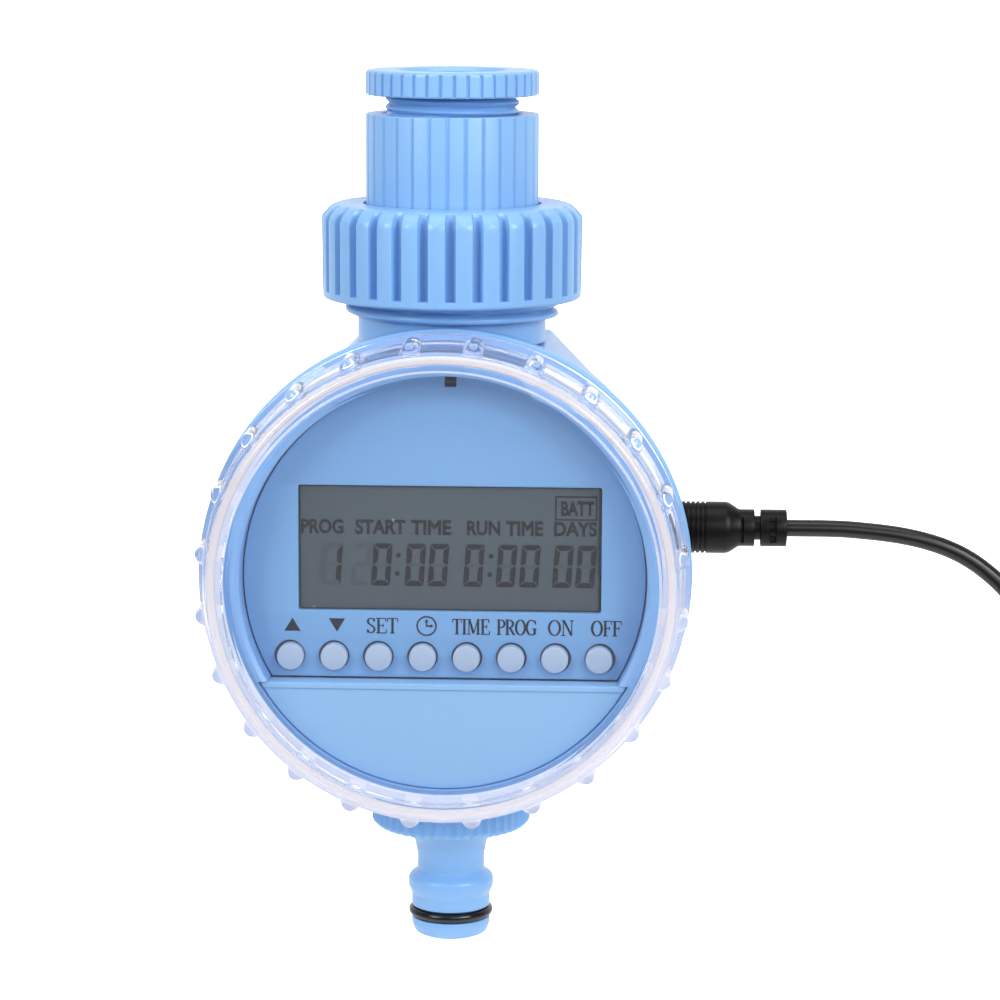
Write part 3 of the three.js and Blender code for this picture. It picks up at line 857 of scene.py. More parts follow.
@dataclass(frozen=True)
class Clear:
    """A see-through moulding: light reaches what is behind it. A painted reflection can whiten its
    wall: a white diffuse layer, strongest towards the bottom.
    """

    name: str
    colour: str
    roughness: float = 0.02
    ior: float = 1.49
    clearness: float = 1.0
    # The next four fields set a painted reflection on the wall: its strength, the radii where it
    # starts, the heights over which it fades, and its least share at the top.
    painted_glare: float = 0
    glare_ring: tuple[float, float] = (0.0425, 0.0446)
    glare_levels: tuple[float, float] = (0.02, -0.025)
    glare_least: float = 0.15

    @cache
    def material(self) -> bpy.types.Material:
        """Makes the material the first time that it is asked for.

        Returns:
            The material.
        """
        material = bpy.data.materials.new(self.name)
        material.use_nodes = True
        nodes = material.node_tree
        shader, out = nodes.nodes["Principled BSDF"], nodes.nodes["Material Output"]
        place = add_node(nodes, "ShaderNodeTexCoord")
        skin = add_node(nodes, "ShaderNodeGroup", node_tree=SKIN.group)
        nodes.links.new(place.outputs["Object"], skin.inputs["Vector"])
        for name, value in (
            ("Colour", rgb(self.colour)),
            ("Drift", 0.02),
            ("Drift Scale", 25),
            ("Gloss", self.roughness),
            ("Gloss Drift", 0.02),
            ("Grain Scale", 90),
        ):
            skin.inputs[name].default_value = value
        bump = add_node(
            nodes,
            "ShaderNodeBump",
            {"Height": skin.outputs["Height"], "Strength": 0.06, "Distance": 0.0003},
        )
        nodes.links.new(skin.outputs["Colour"], shader.inputs["Base Color"])
        nodes.links.new(skin.outputs["Roughness"], shader.inputs["Roughness"])
        nodes.links.new(bump.outputs[0], shader.inputs["Normal"])
        shader.inputs["Transmission Weight"].default_value = self.clearness
        shader.inputs["Metallic"].default_value = 0.0
        shader.inputs["IOR"].default_value = self.ior
        passes = either(nodes, "Is Shadow Ray", "Is Diffuse Ray")
        through = add_node(nodes, "ShaderNodeBsdfTransparent", {"Color": (0.93, 0.94, 0.96, 1)})
        solid = shader.outputs[0]
        # Painted reflection: a white diffuse layer is mixed into the wall outside the ring. It is
        # strongest towards the bottom and weakest at the top, and stands in for the pale
        # surroundings reflected in the curved wall.
        if self.painted_glare:
            parts = add_node(nodes, "ShaderNodeSeparateXYZ", {0: place.outputs["Object"]})
            x, z = Wire(nodes, parts.outputs[0]), Wire(nodes, parts.outputs[2]) - DIAL_Z * MM
            low = z.smooth(*self.glare_levels) * (1 - self.glare_least) + self.glare_least
            wall = (x * x + z * z).maths("SQRT").smooth(*self.glare_ring) * low * self.painted_glare
            glare_white = add_node(nodes, "ShaderNodeBsdfDiffuse", {"Color": rgb("eceaf6")})
            glared = add_node(
                nodes, "ShaderNodeMixShader", {0: wall, 1: solid, 2: glare_white.outputs[0]}
            )
            solid = glared.outputs[0]
        mixed = add_node(
            nodes, "ShaderNodeMixShader", {0: passes, 1: solid, 2: through.outputs[0]}
        )
        nodes.links.new(mixed.outputs[0], out.inputs["Surface"])
        return material


PATTERNS, CORNERS, RING = pattern_tree(), corner_tree(), ring_tree()
SKIN, FLECKS = skin_tree(), fleck_tree()

HOUSING = Moulded("housing_blue_plastic", "81b1e4", gloss=0.3, translucent=0.05)
PANEL = Moulded("panel_blue_plastic", "74a4d2", gloss=0.36, drift=0.05)
# The door's blue is partly its own colour and partly painted light: it is lighter than the panel's
# blue, standing in for the stronger light that reaches the door.
LIT_DOOR_BLUE = Moulded("door_blue_plastic_painted_lit", "8ab9e2", gloss=0.36, drift=0.05)
CAP = Moulded("key_cap_grey_blue", "a7b9cf", gloss=0.5, grain=0.08)
INK = Moulded("legend_ink", "171b2e", specular=0.2, gloss=0.55, drift=0.1)
DISPLAY = Moulded(
    "display_grey_glass",
    "4c565c",
    gloss=0.4,
    specular=0.1,
    drift=0.06,
    grain=0,
    specks=0.025,
    speck_colour="8d9698",
)
SEGMENT = Moulded("display_segment_dark", "202228", gloss=0.5, specular=0.1, grain=0)
GHOST = Moulded("display_segment_faint", "444e54", gloss=0.5, specular=0.1, grain=0)
RUBBER = Moulded("black_rubber_skin", "0a0a0d", specular=0.5, gloss=0.22, grain=0.1, drift=0.2)
CABLE = Moulded("cable_black_skin", "09090b", specular=0.5, gloss=0.28, grain=0.08, drift=0.2)
PLUG = Moulded("plug_black_skin", "08080a", specular=0.2, gloss=0.36, grain=0.12, drift=0.2)
CREAM = Moulded("cream_rubber_skin", "d8d2d4", gloss=0.55)
WHITE = Moulded("white_plastic_skin", "e4e2dc", gloss=0.45)
STEEL = Moulded("steel_bright", "c3c5c9", gloss=0.28, metallic=1, gloss_drift=0.15, grain=0.1)
BRASS = Moulded("brass_bright", "b8963f", gloss=0.3, metallic=1, gloss_drift=0.15)
BOARD = Moulded("circuit_board_green", "1c5c36", gloss=0.35, coat=0.4, drift=0.25, drift_scale=300)
CELL = Moulded("battery_wrap", "3b4450", gloss=0.3, coat=0.5, drift=0.3, drift_scale=80)
# The cover's wall carries a painted reflection: a white layer that is strongest towards the bottom.
CRYSTAL = Clear("clear_cover_plastic", "f7f8fc", painted_glare=0.34)
CLOUDY = Clear("cloudy_step_plastic", "f1f0f7", roughness=0.3, clearness=0.6)


# ---------------------------------------------------------------- studio


@dataclass
class Studio:
    """The camera, the lights and the pale sweep behind the object."""

    azimuth: float = 2.5
    elevation: float = 9.7
    roll: float = 0.25
    distance: float = 690
    lens: float = 124.2
    sideways: float = 9.66
    height: float = -85.5
    floor: float = -330
    floor_front: float = -300
    floor_back: float = 500
    bend_radius: float = 300
    backdrop_top: float = 3000
    half_width: float = 4000
    room_glow: float = 0.3
    room_seen: float = 0.98
    paper_glow: float = 0.2
    paper_seen: float = 0.95

    def camera(self) -> None:
        """Places the camera."""
        a, e = math.radians(self.azimuth), math.radians(self.elevation)
        right = Vector((math.cos(a), math.sin(a), 0))
        back = Vector((math.sin(a) * math.cos(e), -math.cos(a) * math.cos(e), math.sin(e)))
        up = back.cross(right)
        centre = Vector((0, 0, self.height)) + right * self.sideways + back * self.distance
        turn = Matrix((right, up, back)).transposed().to_4x4()
        data = bpy.data.cameras.new("camera")
        data.sensor_width, data.lens = 36, self.lens
        data.clip_start, data.clip_end = 0.01, 20
        camera = bpy.data.objects.new("camera", data)
        roll = Matrix.Rotation(math.radians(self.roll), 4, "Z")
        camera.matrix_world = Matrix.Translation(centre * MM) @ turn @ roll
        bpy.context.scene.collection.objects.link(camera)
        bpy.context.scene.camera = camera

    def softbox(self, name: str, place: tuple, size: tuple, power: float) -> None:
        """Hangs one soft light that faces the dial.

        Args:
            name: The light's name.
            place: Where it hangs, in metres.
            size: Its width and height, in metres.
            power: Its power in watts.
        """
        data = bpy.data.lights.new(name, "AREA")
        data.shape, data.size, data.size_y = "RECTANGLE", *size
        data.energy = power
        light = bpy.data.objects.new(name, data)
        light.location = place
        aim = Vector((0, 0, -0.09)) - Vector(place)
        light.rotation_euler = aim.to_track_quat("-Z", "Y").to_euler()
        bpy.context.scene.collection.objects.link(light)

    def lights(self) -> None:
        """Hangs the lights and sets the room's own glow."""
        self.softbox("key_left", (-0.52, -0.55, 0.32), (0.34, 0.5), 4.0)
        self.softbox("key_right", (0.56, -0.55, 0.30), (0.34, 0.5), 4.3)
        self.softbox("fill", (0.3, -0.8, 0.22), (0.5, 0.4), 1.3)
        self.softbox("top", (0.0, -0.12, 0.62), (0.7, 0.45), 1.9)
        world = bpy.data.worlds.new("room")
        world.use_nodes = True
        glow = world.node_tree.nodes["Background"]
        glow.inputs["Color"].default_value = (1.0, 1.0, 1.0, 1)
        seen = either(world.node_tree, "Is Camera Ray", "Is Transmission Ray")
        strength = seen * (self.room_seen - self.room_glow) + self.room_glow
        world.node_tree.links.new(strength.socket, glow.inputs["Strength"])
        bpy.context.scene.world = world
        bpy.context.scene.view_settings.view_transform = "Standard"

    def sweep(self) -> None:
        """Lays the pale floor that rises into a backdrop, clear from its back."""
        work = bmesh.new()
        back, radius, wide = self.floor_back, self.bend_radius, self.half_width
        bend = [(self.floor_front, self.floor), (back, self.floor)]
        bend += [
            (back + radius * math.sin(t), self.floor + radius - radius * math.cos(t))
            for t in (math.pi / 2 * k / 12 for k in range(1, 13))
        ]
        bend.append((back + radius, self.backdrop_top))
        rows = [
            [work.verts.new((x * MM, y * MM, z * MM)) for x in (-wide, wide)] for y, z in bend
        ]
        for low, high in zip(rows, rows[1:]):
            work.faces.new((low[0], low[1], high[1], high[0]))
        mesh = bpy.data.meshes.new("sweep")
        work.to_mesh(mesh)
        work.free()
        mesh.shade_smooth()
        paper = Moulded("pale_paper", "fbfbfb", gloss=0.9, specular=0.1, drift=0.0, gloss_drift=0.0)
        material = paper.material()
        shader = material.node_tree.nodes["Principled BSDF"]
        nodes = material.node_tree
        seen = either(nodes, "Is Camera Ray", "Is Transmission Ray")
        glow = seen * (self.paper_seen - self.paper_glow) + self.paper_glow
        nodes.links.new(glow.socket, shader.inputs["Emission Strength"])
        shader.inputs["Emission Color"].default_value = (1, 1, 1, 1)
        side = add_node(nodes, "ShaderNodeNewGeometry")
        through = add_node(nodes, "ShaderNodeBsdfTransparent")
        faced = add_node(
            nodes, "ShaderNodeMixShader",
            {0: side.outputs["Backfacing"], 1: shader.outputs[0], 2: through.outputs[0]},
        )
        nodes.links.new(faced.outputs[0], nodes.nodes["Material Output"].inputs["Surface"])
        mesh.materials.append(material)
        sweep = bpy.data.objects.new("sweep", mesh)
        bpy.context.scene.collection.objects.link(sweep)


# ---------------------------------------------------------------- power lead


@dataclass
class PowerLead:
    """The plug at the housing's right side, its lead, coil, tie and far plug."""

    depth: float = -8
    height: float = -89
    diameter: float = 3.4
    length: float = 1.12
    coil_centre: tuple[float, float, float] = (120, 0.5, -135)
    cells: tuple[tuple[int, int], ...] = (
        (0, 2), (-1, 2), (-1, 1), (-1, 0), (0, 0), (0, 1), (1, 1), (1, 2),
    )
    cell: float = 3.5
    middle_radius: float = 20.5
    turn_points: int = 18
    last_turn: float = 0.68
    shift_from: float = 0.72
    far_place: tuple[float, float, float] = (129, -11.5, -137.3)
    start: Profile = field(
        default_factory=lambda: [
            (66.7, -8, -89), (70, -8, -89.0), (74, -8, -89.0), (78, -8, -89.1), (82, -8, -89.4),
            (86, -8, -89.8), (90, -8, -90.4), (94, -8, -91.3), (98, -8, -92.6),
            (102, -8.1, -94.5), (106, -8.5, -97.2), (109.8, -9.5, -100.6), (113.2, -11.6, -104.4),
            (116.6, -15, -108.6), (118.8, -18.6, -113.2), (119.8, -21.4, -119), (120, -22.9, -126),
        ]
    )
    tail: Profile = field(
        default_factory=lambda: [
            (126, 4.6, -113.9), (127, 0.6, -114.3), (128.3, -4.2, -115.8),
            (129, -8.6, -119.2), (129, -11, -123.2), (129, -11.5, -127),
        ]
    )

    def route(self) -> Profile:
        """Follows the lead from the near plug, through the coil, to the far plug.

        Returns:
            The points of its centreline, in millimetres.
        """
        cx, cy, cz = self.coil_centre
        points = list(self.start)
        total = self.turn_points * (len(self.cells) - 1) + round(self.last_turn * self.turn_points)
        for i in range(total + 1):
            turn, part = divmod(i / self.turn_points, 1)
            here = self.cells[int(turn)]
            there = self.cells[min(int(turn) + 1, len(self.cells) - 1)]
            blend = max(0.0, (part - self.shift_from) / (1 - self.shift_from))
            blend = blend * blend * (3 - 2 * blend)
            column = here[0] + (there[0] - here[0]) * blend
            row = here[1] + (there[1] - here[1]) * blend
            radius = self.middle_radius + (row - 1) * self.cell
            angle = TAU * part
            points.append(
                (
                    cx + column * self.cell,
                    cy - radius * math.cos(angle),
                    cz - radius * math.sin(angle),
                )
            )
        return points + list(self.tail)

    def on_axis(self, profile: Profile, segments: int = 64) -> bpy.types.Mesh:
        """Turns a profile about the plug's axis; heights are X."""
        matrix = Facing.RIGHT.matrix((0, self.depth, self.height))
        return moved(turned(profile, even(segments)), matrix)

    def cord(self) -> bpy.types.Object:
        """Lays the lead as one round curve.

        Returns:
            The lead.
        """
        curve = bpy.data.curves.new("power_lead", "CURVE")
        curve.dimensions = "3D"
        curve.bevel_depth, curve.bevel_resolution = self.diameter / 2 * MM, 6
        curve.resolution_u, curve.use_fill_caps = 5, True
        points = self.route()
        spline = curve.splines.new("BEZIER")
        spline.bezier_points.add(len(points) - 1)
        for bezier, point in zip(spline.bezier_points, points):
            bezier.co = Vector(point) * MM
            bezier.handle_left_type = bezier.handle_right_type = "AUTO"
        curve.materials.append(CABLE.material())
        lead = bpy.data.objects.new("power_lead", curve)
        bpy.context.scene.collection.objects.link(lead)
        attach(lead, "power_plug")
        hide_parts("power_cable", "cable_coil", "cable_tail")
        return lead

    def near_plug(self) -> list[bpy.types.Object]:
        """Builds the plug's grip, barrel and strain relief.

        Returns:
            The three pieces.
        """
        grip: Profile = [(0, 44.1), (4.5, 44.1), (5.1, 44.6)]
        for i in range(5):
            x = 46.5 + 0.95 * i
            grip += [(5.1, x), (4.78, x + 0.12), (4.78, x + 0.3), (5.1, x + 0.42)]
        grip += [(5.1, 54.4), (5.0, 55.0), (4.7, 55.6), (3.75, 57.0), (3.65, 57.5), (0, 57.5)]
        shell = self.on_axis(grip, 96)
        barrel = [
            (1.25, 34.2), (2.6, 34.2), (2.75, 34.5), (2.75, 43.8), (0, 43.8), (0, 42), (1.25, 42),
        ]
        relief = rounded(
            [
                (0, 57.2), (3.65, 57.2, 0.1), (3.65, 60.2, 0.15), (2.4, 60.25), (2.4, 61.35),
                (3.65, 61.4, 0.15), (3.65, 66.5, 0.2), (1.75, 66.7), (0, 66.7),
            ],
            2,
        )
        rows: Profile = []
        for i, (r, x) in enumerate(relief):
            rows.append((r, x))
            following = relief[(i + 1) % len(relief)]
            if r > 3 and following[0] > 3 and following[1] - x > 1:
                cuts = (57.3, 57.4, 58.0, 58.1, 63.2, 63.3, 64.4, 64.5)
                rows += [(r, c) for c in cuts if x < c < following[1]]
        slots = [
            Pattern(2, 2.5, 0.5, low, high, 0.1, 0.1, inner=2.6, power=10, phase=0.5)
            for low, high in ((57.3, 58.1), (63.2, 64.5))
        ]
        body = patterned(turned(rows, even(96)), PLUG, *slots)
        body = moved(body, Facing.RIGHT.matrix((0, self.depth, self.height)))
        return [
            fitted("plug_grip", shell, PLUG, "power_plug", ("dc_plug_body",)),
            fitted(
                "plug_barrel", self.on_axis(barrel), STEEL, "power_plug",
                ("dc_plug_barrel",),
            ),
            fitted(
                "plug_strain_relief", body, PLUG, "power_plug",
                ("dc_strain_relief",),
            ),
        ]

    def far_plug(self) -> list[bpy.types.Object]:
        """Builds the flat plug at the lead's other end.

        Returns:
            Its body, shell and tongue.
        """
        x, y, z = self.far_place
        body = box((x - 4, y - 8, z - 10), (x + 4, y + 8, z + 7), 1.4)
        neck = moved(
            turned(rounded([(0, 6), (3.6, 6), (3.0, 10, 0.6), (0, 10)]), even(32)),
            Matrix.Translation((x, y, z)),
        )
        grips = [
            box((x - 4.25, y - 5, z - 4 + 2.2 * i), (x + 4.25, y + 5, z - 3 + 2.2 * i), 0.3)
            for i in range(4)
        ]
        body = moved(joined(body, neck, *grips), Matrix.Scale(MM, 4))
        shell = box((x - 2.25, y - 6, -159.6), (x + 2.25, y + 6, -147.4), 0.25)
        inside = box((x - 1.95, y - 5.7, -161), (x + 1.95, y + 5.7, -149.5))
        holes = [
            box((x + s - 0.5, y + k - 1.1, -155.2), (x + s + 0.5, y + k + 1.1, -152.8))
            for s in (-2.25, 2.25)
            for k in (-2.6, 2.6)
        ]
        shell = moved(carved(shell, "DIFFERENCE", inside, *holes), Matrix.Scale(MM, 4))
        tongue = box((x - 1.8, y - 5.5, -159.2), (x, y + 5.5, -149), 0.15)
        tongue = moved(tongue, Matrix.Scale(MM, 4))
        return [
            fitted("far_plug_body", body, PLUG, "power_plug", ("usb_plug_body",)),
            fitted("far_plug_shell", shell, STEEL, "power_plug", ("usb_plug_shell",)),
            fitted("far_plug_tongue", tongue, WHITE, "power_plug"),
        ]

    def tie(self) -> bpy.types.Object:
        """Builds the band that holds the coil's turns together.

        Returns:
            The band.
        """
        cx, cy, cz = self.coil_centre
        middle = cz - self.middle_radius
        square = [(-1, -1), (1, -1), (1, 1), (-1, 1)]
        outer = rounded([(6.4 * a, 6.4 * b, 2.6) for a, b in square], 8)
        inner = rounded([(5.7 * a, 5.7 * b, 2.0) for a, b in square], 8)
        band = plate(outer, (-2.5, 2.5), 0.25, (inner,))
        band = moved(band, Facing.FORWARD.matrix((cx, cy, middle)))
        return fitted("lead_tie", band, PLUG, "power_plug", ("coil_tie",))

    def build(self) -> None:
        lead = self.cord()
        pieces = [*self.near_plug(), *self.far_plug(), self.tie()]


# ---------------------------------------------------------------- inlet


@dataclass
class Inlet:
    """The tap adaptor, the sleeve, the nut, and the washers that show."""

    adaptor_ribs: int = 40
    sleeve_ribs: int = 30
    nut_grooves: int = 30

    def adaptor(self) -> None:
        """Builds the ribbed rim with its socket and threaded hub."""
        profile = rounded(
            [
                (6.8, -20), (12.3, -20, 0.3), (12.3, -4.9, 0.25), (16.6, -4.9, 0.3),
                (17, -4.6, 0.2), (17, 0, 0.7), (10.9, 0, 0.2), (10.3, -0.7, 0.2), (10.3, -13.5),
                (6.8, -13.5),
            ]
        )
        profile = dense(profile, 0.3, -18, -1)
        mesh = turned(profile, stations(self.adaptor_ribs, 0.3, STEEP, 1))
        ribs = Pattern(self.adaptor_ribs, 16.5, 0.3, -5.2, -0.25, 0.05, 0.5, inner=16.3, power=4)
        thread = Pattern(
            1, 13.2, 0.92, -19.8, -5.2, 1, 0.3, inner=12, outer=12.6, power=2, twist=1 / 1.814
        )
        socket = Pattern(
            1, 9.6, 0.9, -13, -1.2, 0.5, 1, inner=9.5, outer=10.4, power=2, twist=1 / 1.814
        )
        mesh = patterned(mesh, HOUSING, ribs, thread, socket)
        mesh = moved(mesh, Facing.UP.matrix())
        fitted("adaptor", mesh, HOUSING, "adaptor", ("tap_adaptor",))

    def washer(
        self, name: str, node: str, body: str, inner: float, outer: float, low: float
    ) -> None:
        """Builds one flat rubber washer, 2 mm thick.

        Args:
            name: The piece's name.
            node: The CAD node that it stands for.
            body: The body that it rides on.
            inner: Its hole's radius.
            outer: Its own radius.
            low: The height of its lower face.
        """
        profile = rounded(
            [(inner, low, 0.3), (outer, low, 0.3), (outer, low + 2, 0.3), (inner, low + 2, 0.3)]
        )
        mesh = moved(turned(profile, even(96)), Facing.UP.matrix())
        fitted(name, mesh, RUBBER, body, (node,))

    def sleeve(self) -> None:
        """Builds the ribbed barrel with its flange under the nut."""
        profile = rounded(
            [
                (9.5, -34.5), (21.2, -34.5, 0.4), (21.2, -30.1, 0.4), (17, -30.1), (17, -8.5, 0.25),
                (13.9, -8.5, 0.3), (13.5, -9.1), (13.5, -22.6), (9.5, -22.6),
            ]
        )
        mesh = turned(profile, stations(self.sleeve_ribs, 0.26, STEEP, 3))
        ribs = Pattern(
            self.sleeve_ribs, 16.55, 0.26, -30.3, -8.3, inner=16.2, outer=17.2, power=2
        )
        mesh = moved(patterned(mesh, HOUSING, ribs), Facing.UP.matrix())
        fitted("sleeve", mesh, HOUSING, "sleeve", ("tap_sleeve",))

    def nut(self) -> None:
        """Builds the large nut: a rounded shoulder, deep grooves and a solid ring below."""
        profile = rounded(
            [
                (17.5, -26, 0.3), (25.5, -26, 3.6), (25.5, -43.02), (25.5, -43.12),
                (25.5, -44.7, 1.1), (21.9, -44.7, 0.3), (21.9, -29.8), (17.5, -29.8, 0.2),
            ],
            8,
        )
        mesh = turned(profile, stations(self.nut_grooves, 0.4, STEEP, 5))
        grooves = Pattern(
            self.nut_grooves, 23.2, 0.4, -43.1, -25, 0.08, 0.1, inner=23.2, power=4
        )
        crests = Pattern(
            self.nut_grooves, 25.75, 0.6, -43.1, -27, 0.6, 2, inner=25.3, power=2, phase=0.5
        )
        mesh = patterned(mesh, HOUSING, grooves, crests)
        mesh = moved(mesh, Facing.UP.matrix() @ Matrix.Rotation(math.radians(2.5), 4, "Z"))
        fitted("nut", mesh, HOUSING, "nut", ("inlet_nut",))

    def build(self) -> None:
        """Builds the inlet from the top down."""
        self.adaptor()
        self.sleeve()
        self.nut()
        self.washer("adaptor_seal", "adaptor_washer", "adaptor", 6.8, 10, -13.3)
        self.washer("sleeve_seal", "tap_washer", "sleeve_washer", 9.8, 13.2, -22.3)
        self.washer("nut_seal", "inlet_gasket", "inlet_seal", 9.5, 20, -36.8)


# ---------------------------------------------------------------- housing


@dataclass
class Housing:
    """The neck, the rear shell, the front ring and the screws."""

    flange_radius: float = 48
    back: float = -30
    joint: float = 16.5
    screw_spread: tuple[float, float] = (54, 48)

    def neck(self) -> None:
        """Builds the valve body: a threaded stub above the neck, and the ball's chamber."""
        profile = rounded(
            [
                (9, -91), (14, -91, 0.3), (14, -53.3), (18.6, -53.3, 0.4), (18.6, -48.4, 0.3),
                (19.9, -47.2, 0.3), (19.9, -38.6, 0.4), (15.6, -38.6, 0.3), (15.6, -51.5),
                (9.6, -56), (9.6, -60), (5.2, -70.5), (9, -70.5),
            ]
        )
        mesh = turned(dense(profile, 0.26, -48.4, -38.6), even(PIPE_SEGMENTS))
        thread = Pattern(
            1, 21.1, 0.95, -48.6, -38.8, 0.5, 0.8, inner=18.8, outer=20.5, power=2.4,
            twist=1 / 2.309, phase=0.2,
        )
        mesh = moved(patterned(mesh, HOUSING, thread), Facing.UP.matrix())
        boss = rounded([(3.3, -17.2), (6.5, -17.2, 0.3), (6.5, -10), (3.3, -10)])
        boss = moved(turned(boss, even(48)), Facing.FORWARD.matrix((0, 0, -80)))
        fitted(
            "valve_neck", joined(mesh, boss), HOUSING, "housing",
            ("valve_body",),
        )

    def drum(self, radius: float, inset: float, back: float, front: float) -> bpy.types.Mesh:
        """Makes a solid drum about the dial's axis, its back edge rounded.

        Args:
            radius: Its radius.
            inset: How much smaller its back face is.
            back: The height of its back face, forward being up.
            front: The height of its front face.

        Returns:
            The drum, in millimetres.
        """
        profile = rounded(
            [
                (0, back), (radius - inset, back, 3.2), (radius, back + 4.6, 3),
                (radius, front), (0, front),
            ],
            6,
        )
        lift = Matrix.Translation((0, DIAL_Z, 0))
        return moved(turned(profile, even(DIAL_SEGMENTS)), lift)

    def at_screws(self, profile: Profile, segments: int) -> list[bpy.types.Mesh]:
        """Turns a profile and sets one at each of the four screws.

        Args:
            profile: (radius, height) points of its outline.
            segments: How many sides it has.

        Returns:
            The four meshes, in millimetres.
        """
        width, height = self.screw_spread
        return [
            moved(turned(profile, even(segments)), Matrix.Translation((x, DIAL_Z + z, 0)))
            for x in (-width / 2, width / 2)
            for z in (-height / 2, height / 2)
        ]

    def rear(self) -> None:
        """Builds the rear shell: drum, shoulders to the neck, outlet collar and screw wells."""
        shoulder = [
            (18.9, -53.6, 1.2), (-18.9, -53.6, 1.2), (-30.9, -66.1, 4), (-20, -90), (20, -90),
            (30.9, -66.1, 4),
        ]
        inner = [(16.3, -56), (-16.3, -56), (-28.3, -67), (-20, -90), (20, -90), (28.3, -67)]
        outer = carved(
            self.drum(43.5, 3.6, self.back, self.joint),
            "UNION",
            plate(rounded(shoulder, 5), (-22, self.joint), 0.4),
        )
        along = Matrix.Rotation(-math.pi / 2, 4, "X")
        collar = rounded([(0, -141.2), (14.6, -141.2, 0.6), (14.6, -133), (0, -133)])
        outer = carved(outer, "UNION", moved(turned(collar, even(PIPE_SEGMENTS)), along))
        hollow = carved(
            self.drum(41.3, 3.4, self.back + 2.2, self.joint + 2),
            "UNION",
            plate(inner, (-19.8, self.joint + 2.2), 0.05),
        )
        well = rounded([(0, -31), (3.1, -31), (3.1, -27.4, 0.2), (0, -27.4)])
        boss = rounded([(1.8, -27.8), (4.4, -27.8), (4.2, -10.3, 0.3), (1.8, -10.3)])
        mouths = [
            moved(turned([(0, top), (r, top), (r, low), (0, low)], even(PIPE_SEGMENTS)), along)
            for r, top, low in ((18.9, -50, -53.6), (14.3, -51, -60), (8.4, -130, -145))
        ]
        side = Matrix.Translation((0, -89, 8)) @ Matrix.Rotation(math.pi / 2, 4, "Y")
        socket = moved(turned([(0, 38), (3.6, 38), (3.6, 46), (0, 46)], even(48)), side)
        shell = carved(outer, "DIFFERENCE", hollow, *self.at_screws(well, 40), *mouths, socket)
        mesh = moved(joined(shell, *self.at_screws(boss, 32)), Facing.FORWARD.matrix())
        fitted("rear_shell", mesh, HOUSING, "housing", ("rear_housing",))

    def front(self) -> None:
        """Builds the front ring: flange, threaded boss, lip and ledge."""
        f = self.flange_radius
        profile = rounded(
            [
                (38, 16.8), (f - 0.5, 16.8, 0.4), (f, 17.3, 0.4), (f, 20, 0.5), (43.3, 20, 0.4),
                (43.3, 28, 0.35), (41.3, 28.05, 0.2), (41.3, 29, 0.2), (40.3, 29.1, 0.5),
                (39.4, 28.5, 0.3), (39.4, 21.2), (38, 21.2, 0.1),
            ]
        )
        mesh = turned(dense(profile, 0.4, 20.3, 27.8), even(DIAL_SEGMENTS + 64))
        thread = Pattern(
            2, 44.2, 0.5, 20.6, 27.6, 0.3, 0.3, inner=43, outer=43.6, power=3, twist=1 / 4,
        )
        mesh = patterned(mesh, HOUSING, thread)
        mesh = moved(mesh, Matrix.Translation((0, DIAL_Z, 0)))
        room = self.segment(41.1, -116.65, 0)
        door = plate(room, (19.2, 33), 0.01)
        along = Matrix.Rotation(-math.pi / 2, 4, "X")
        neck = [(0, -44), (18.9, -44), (18.9, -60), (0, -60)]
        mesh = carved(mesh, "DIFFERENCE", door, moved(turned(neck, even(PIPE_SEGMENTS)), along))
        pillar = rounded([(1.3, -10), (3.2, -10, 0.3), (3.2, 19), (1.3, 19)])
        mesh = moved(joined(mesh, *self.at_screws(pillar, 32)), Facing.FORWARD.matrix())
        fitted("front_ring", mesh, HOUSING, "housing", ("front_housing",))

    @staticmethod
    def segment(radius: float, top: float, corner: float) -> Profile:
        """The part of a dial-centred disc that is below a level.

        Args:
            radius: The disc's radius.
            top: The level, as a height.
            corner: How far the two corners are rounded.

        Returns:
            Its outline.
        """
        drop = math.asin((top - DIAL_Z) / radius)
        steps = 96
        arc = [
            (
                radius * math.cos(math.pi - drop + (math.pi + 2 * drop) * k / steps),
                DIAL_Z + radius * math.sin(math.pi - drop + (math.pi + 2 * drop) * k / steps),
            )
            for k in range(steps + 1)
        ]
        if not corner:
            return arc
        return rounded([(*arc[0], corner), *arc[3:-3], (*arc[-1], corner)], 5)

    def screws(self) -> None:
        """Builds the four screws at the back, each with a crossed recess."""
        profile = rounded(
            [
                (0, -29.3), (1.6, -29.3, 0.5), (2.8, -28.6, 0.2), (2.8, -27.4), (1, -27.3), (1, 1),
                (0, 1.5),
            ],
            3,
        )
        head = turned(dense(profile, 0.2, -27, 1), even(48))
        cross = [
            box((-1.6, -0.28, -30), (1.6, 0.28, -28.2)),
            box((-0.28, -1.6, -30), (0.28, 1.6, -28.2)),
        ]
        screw = carved(head, "DIFFERENCE", *cross)
        width, height = self.screw_spread
        mesh = grown(screw, CORNERS, STEEL, {"Width": width, "Height": height})
        mesh = moved(mesh, Facing.FORWARD.matrix(ON_DIAL))
        nodes = tuple(f"housing_screw_{i}" for i in range(1, 5))
        fitted("housing_screws", mesh, STEEL, "housing", nodes)

    def build(self) -> None:
        """Builds the housing's own pieces."""
        self.neck()
        self.rear()
        self.front()
        self.screws()


# ---------------------------------------------------------------- face


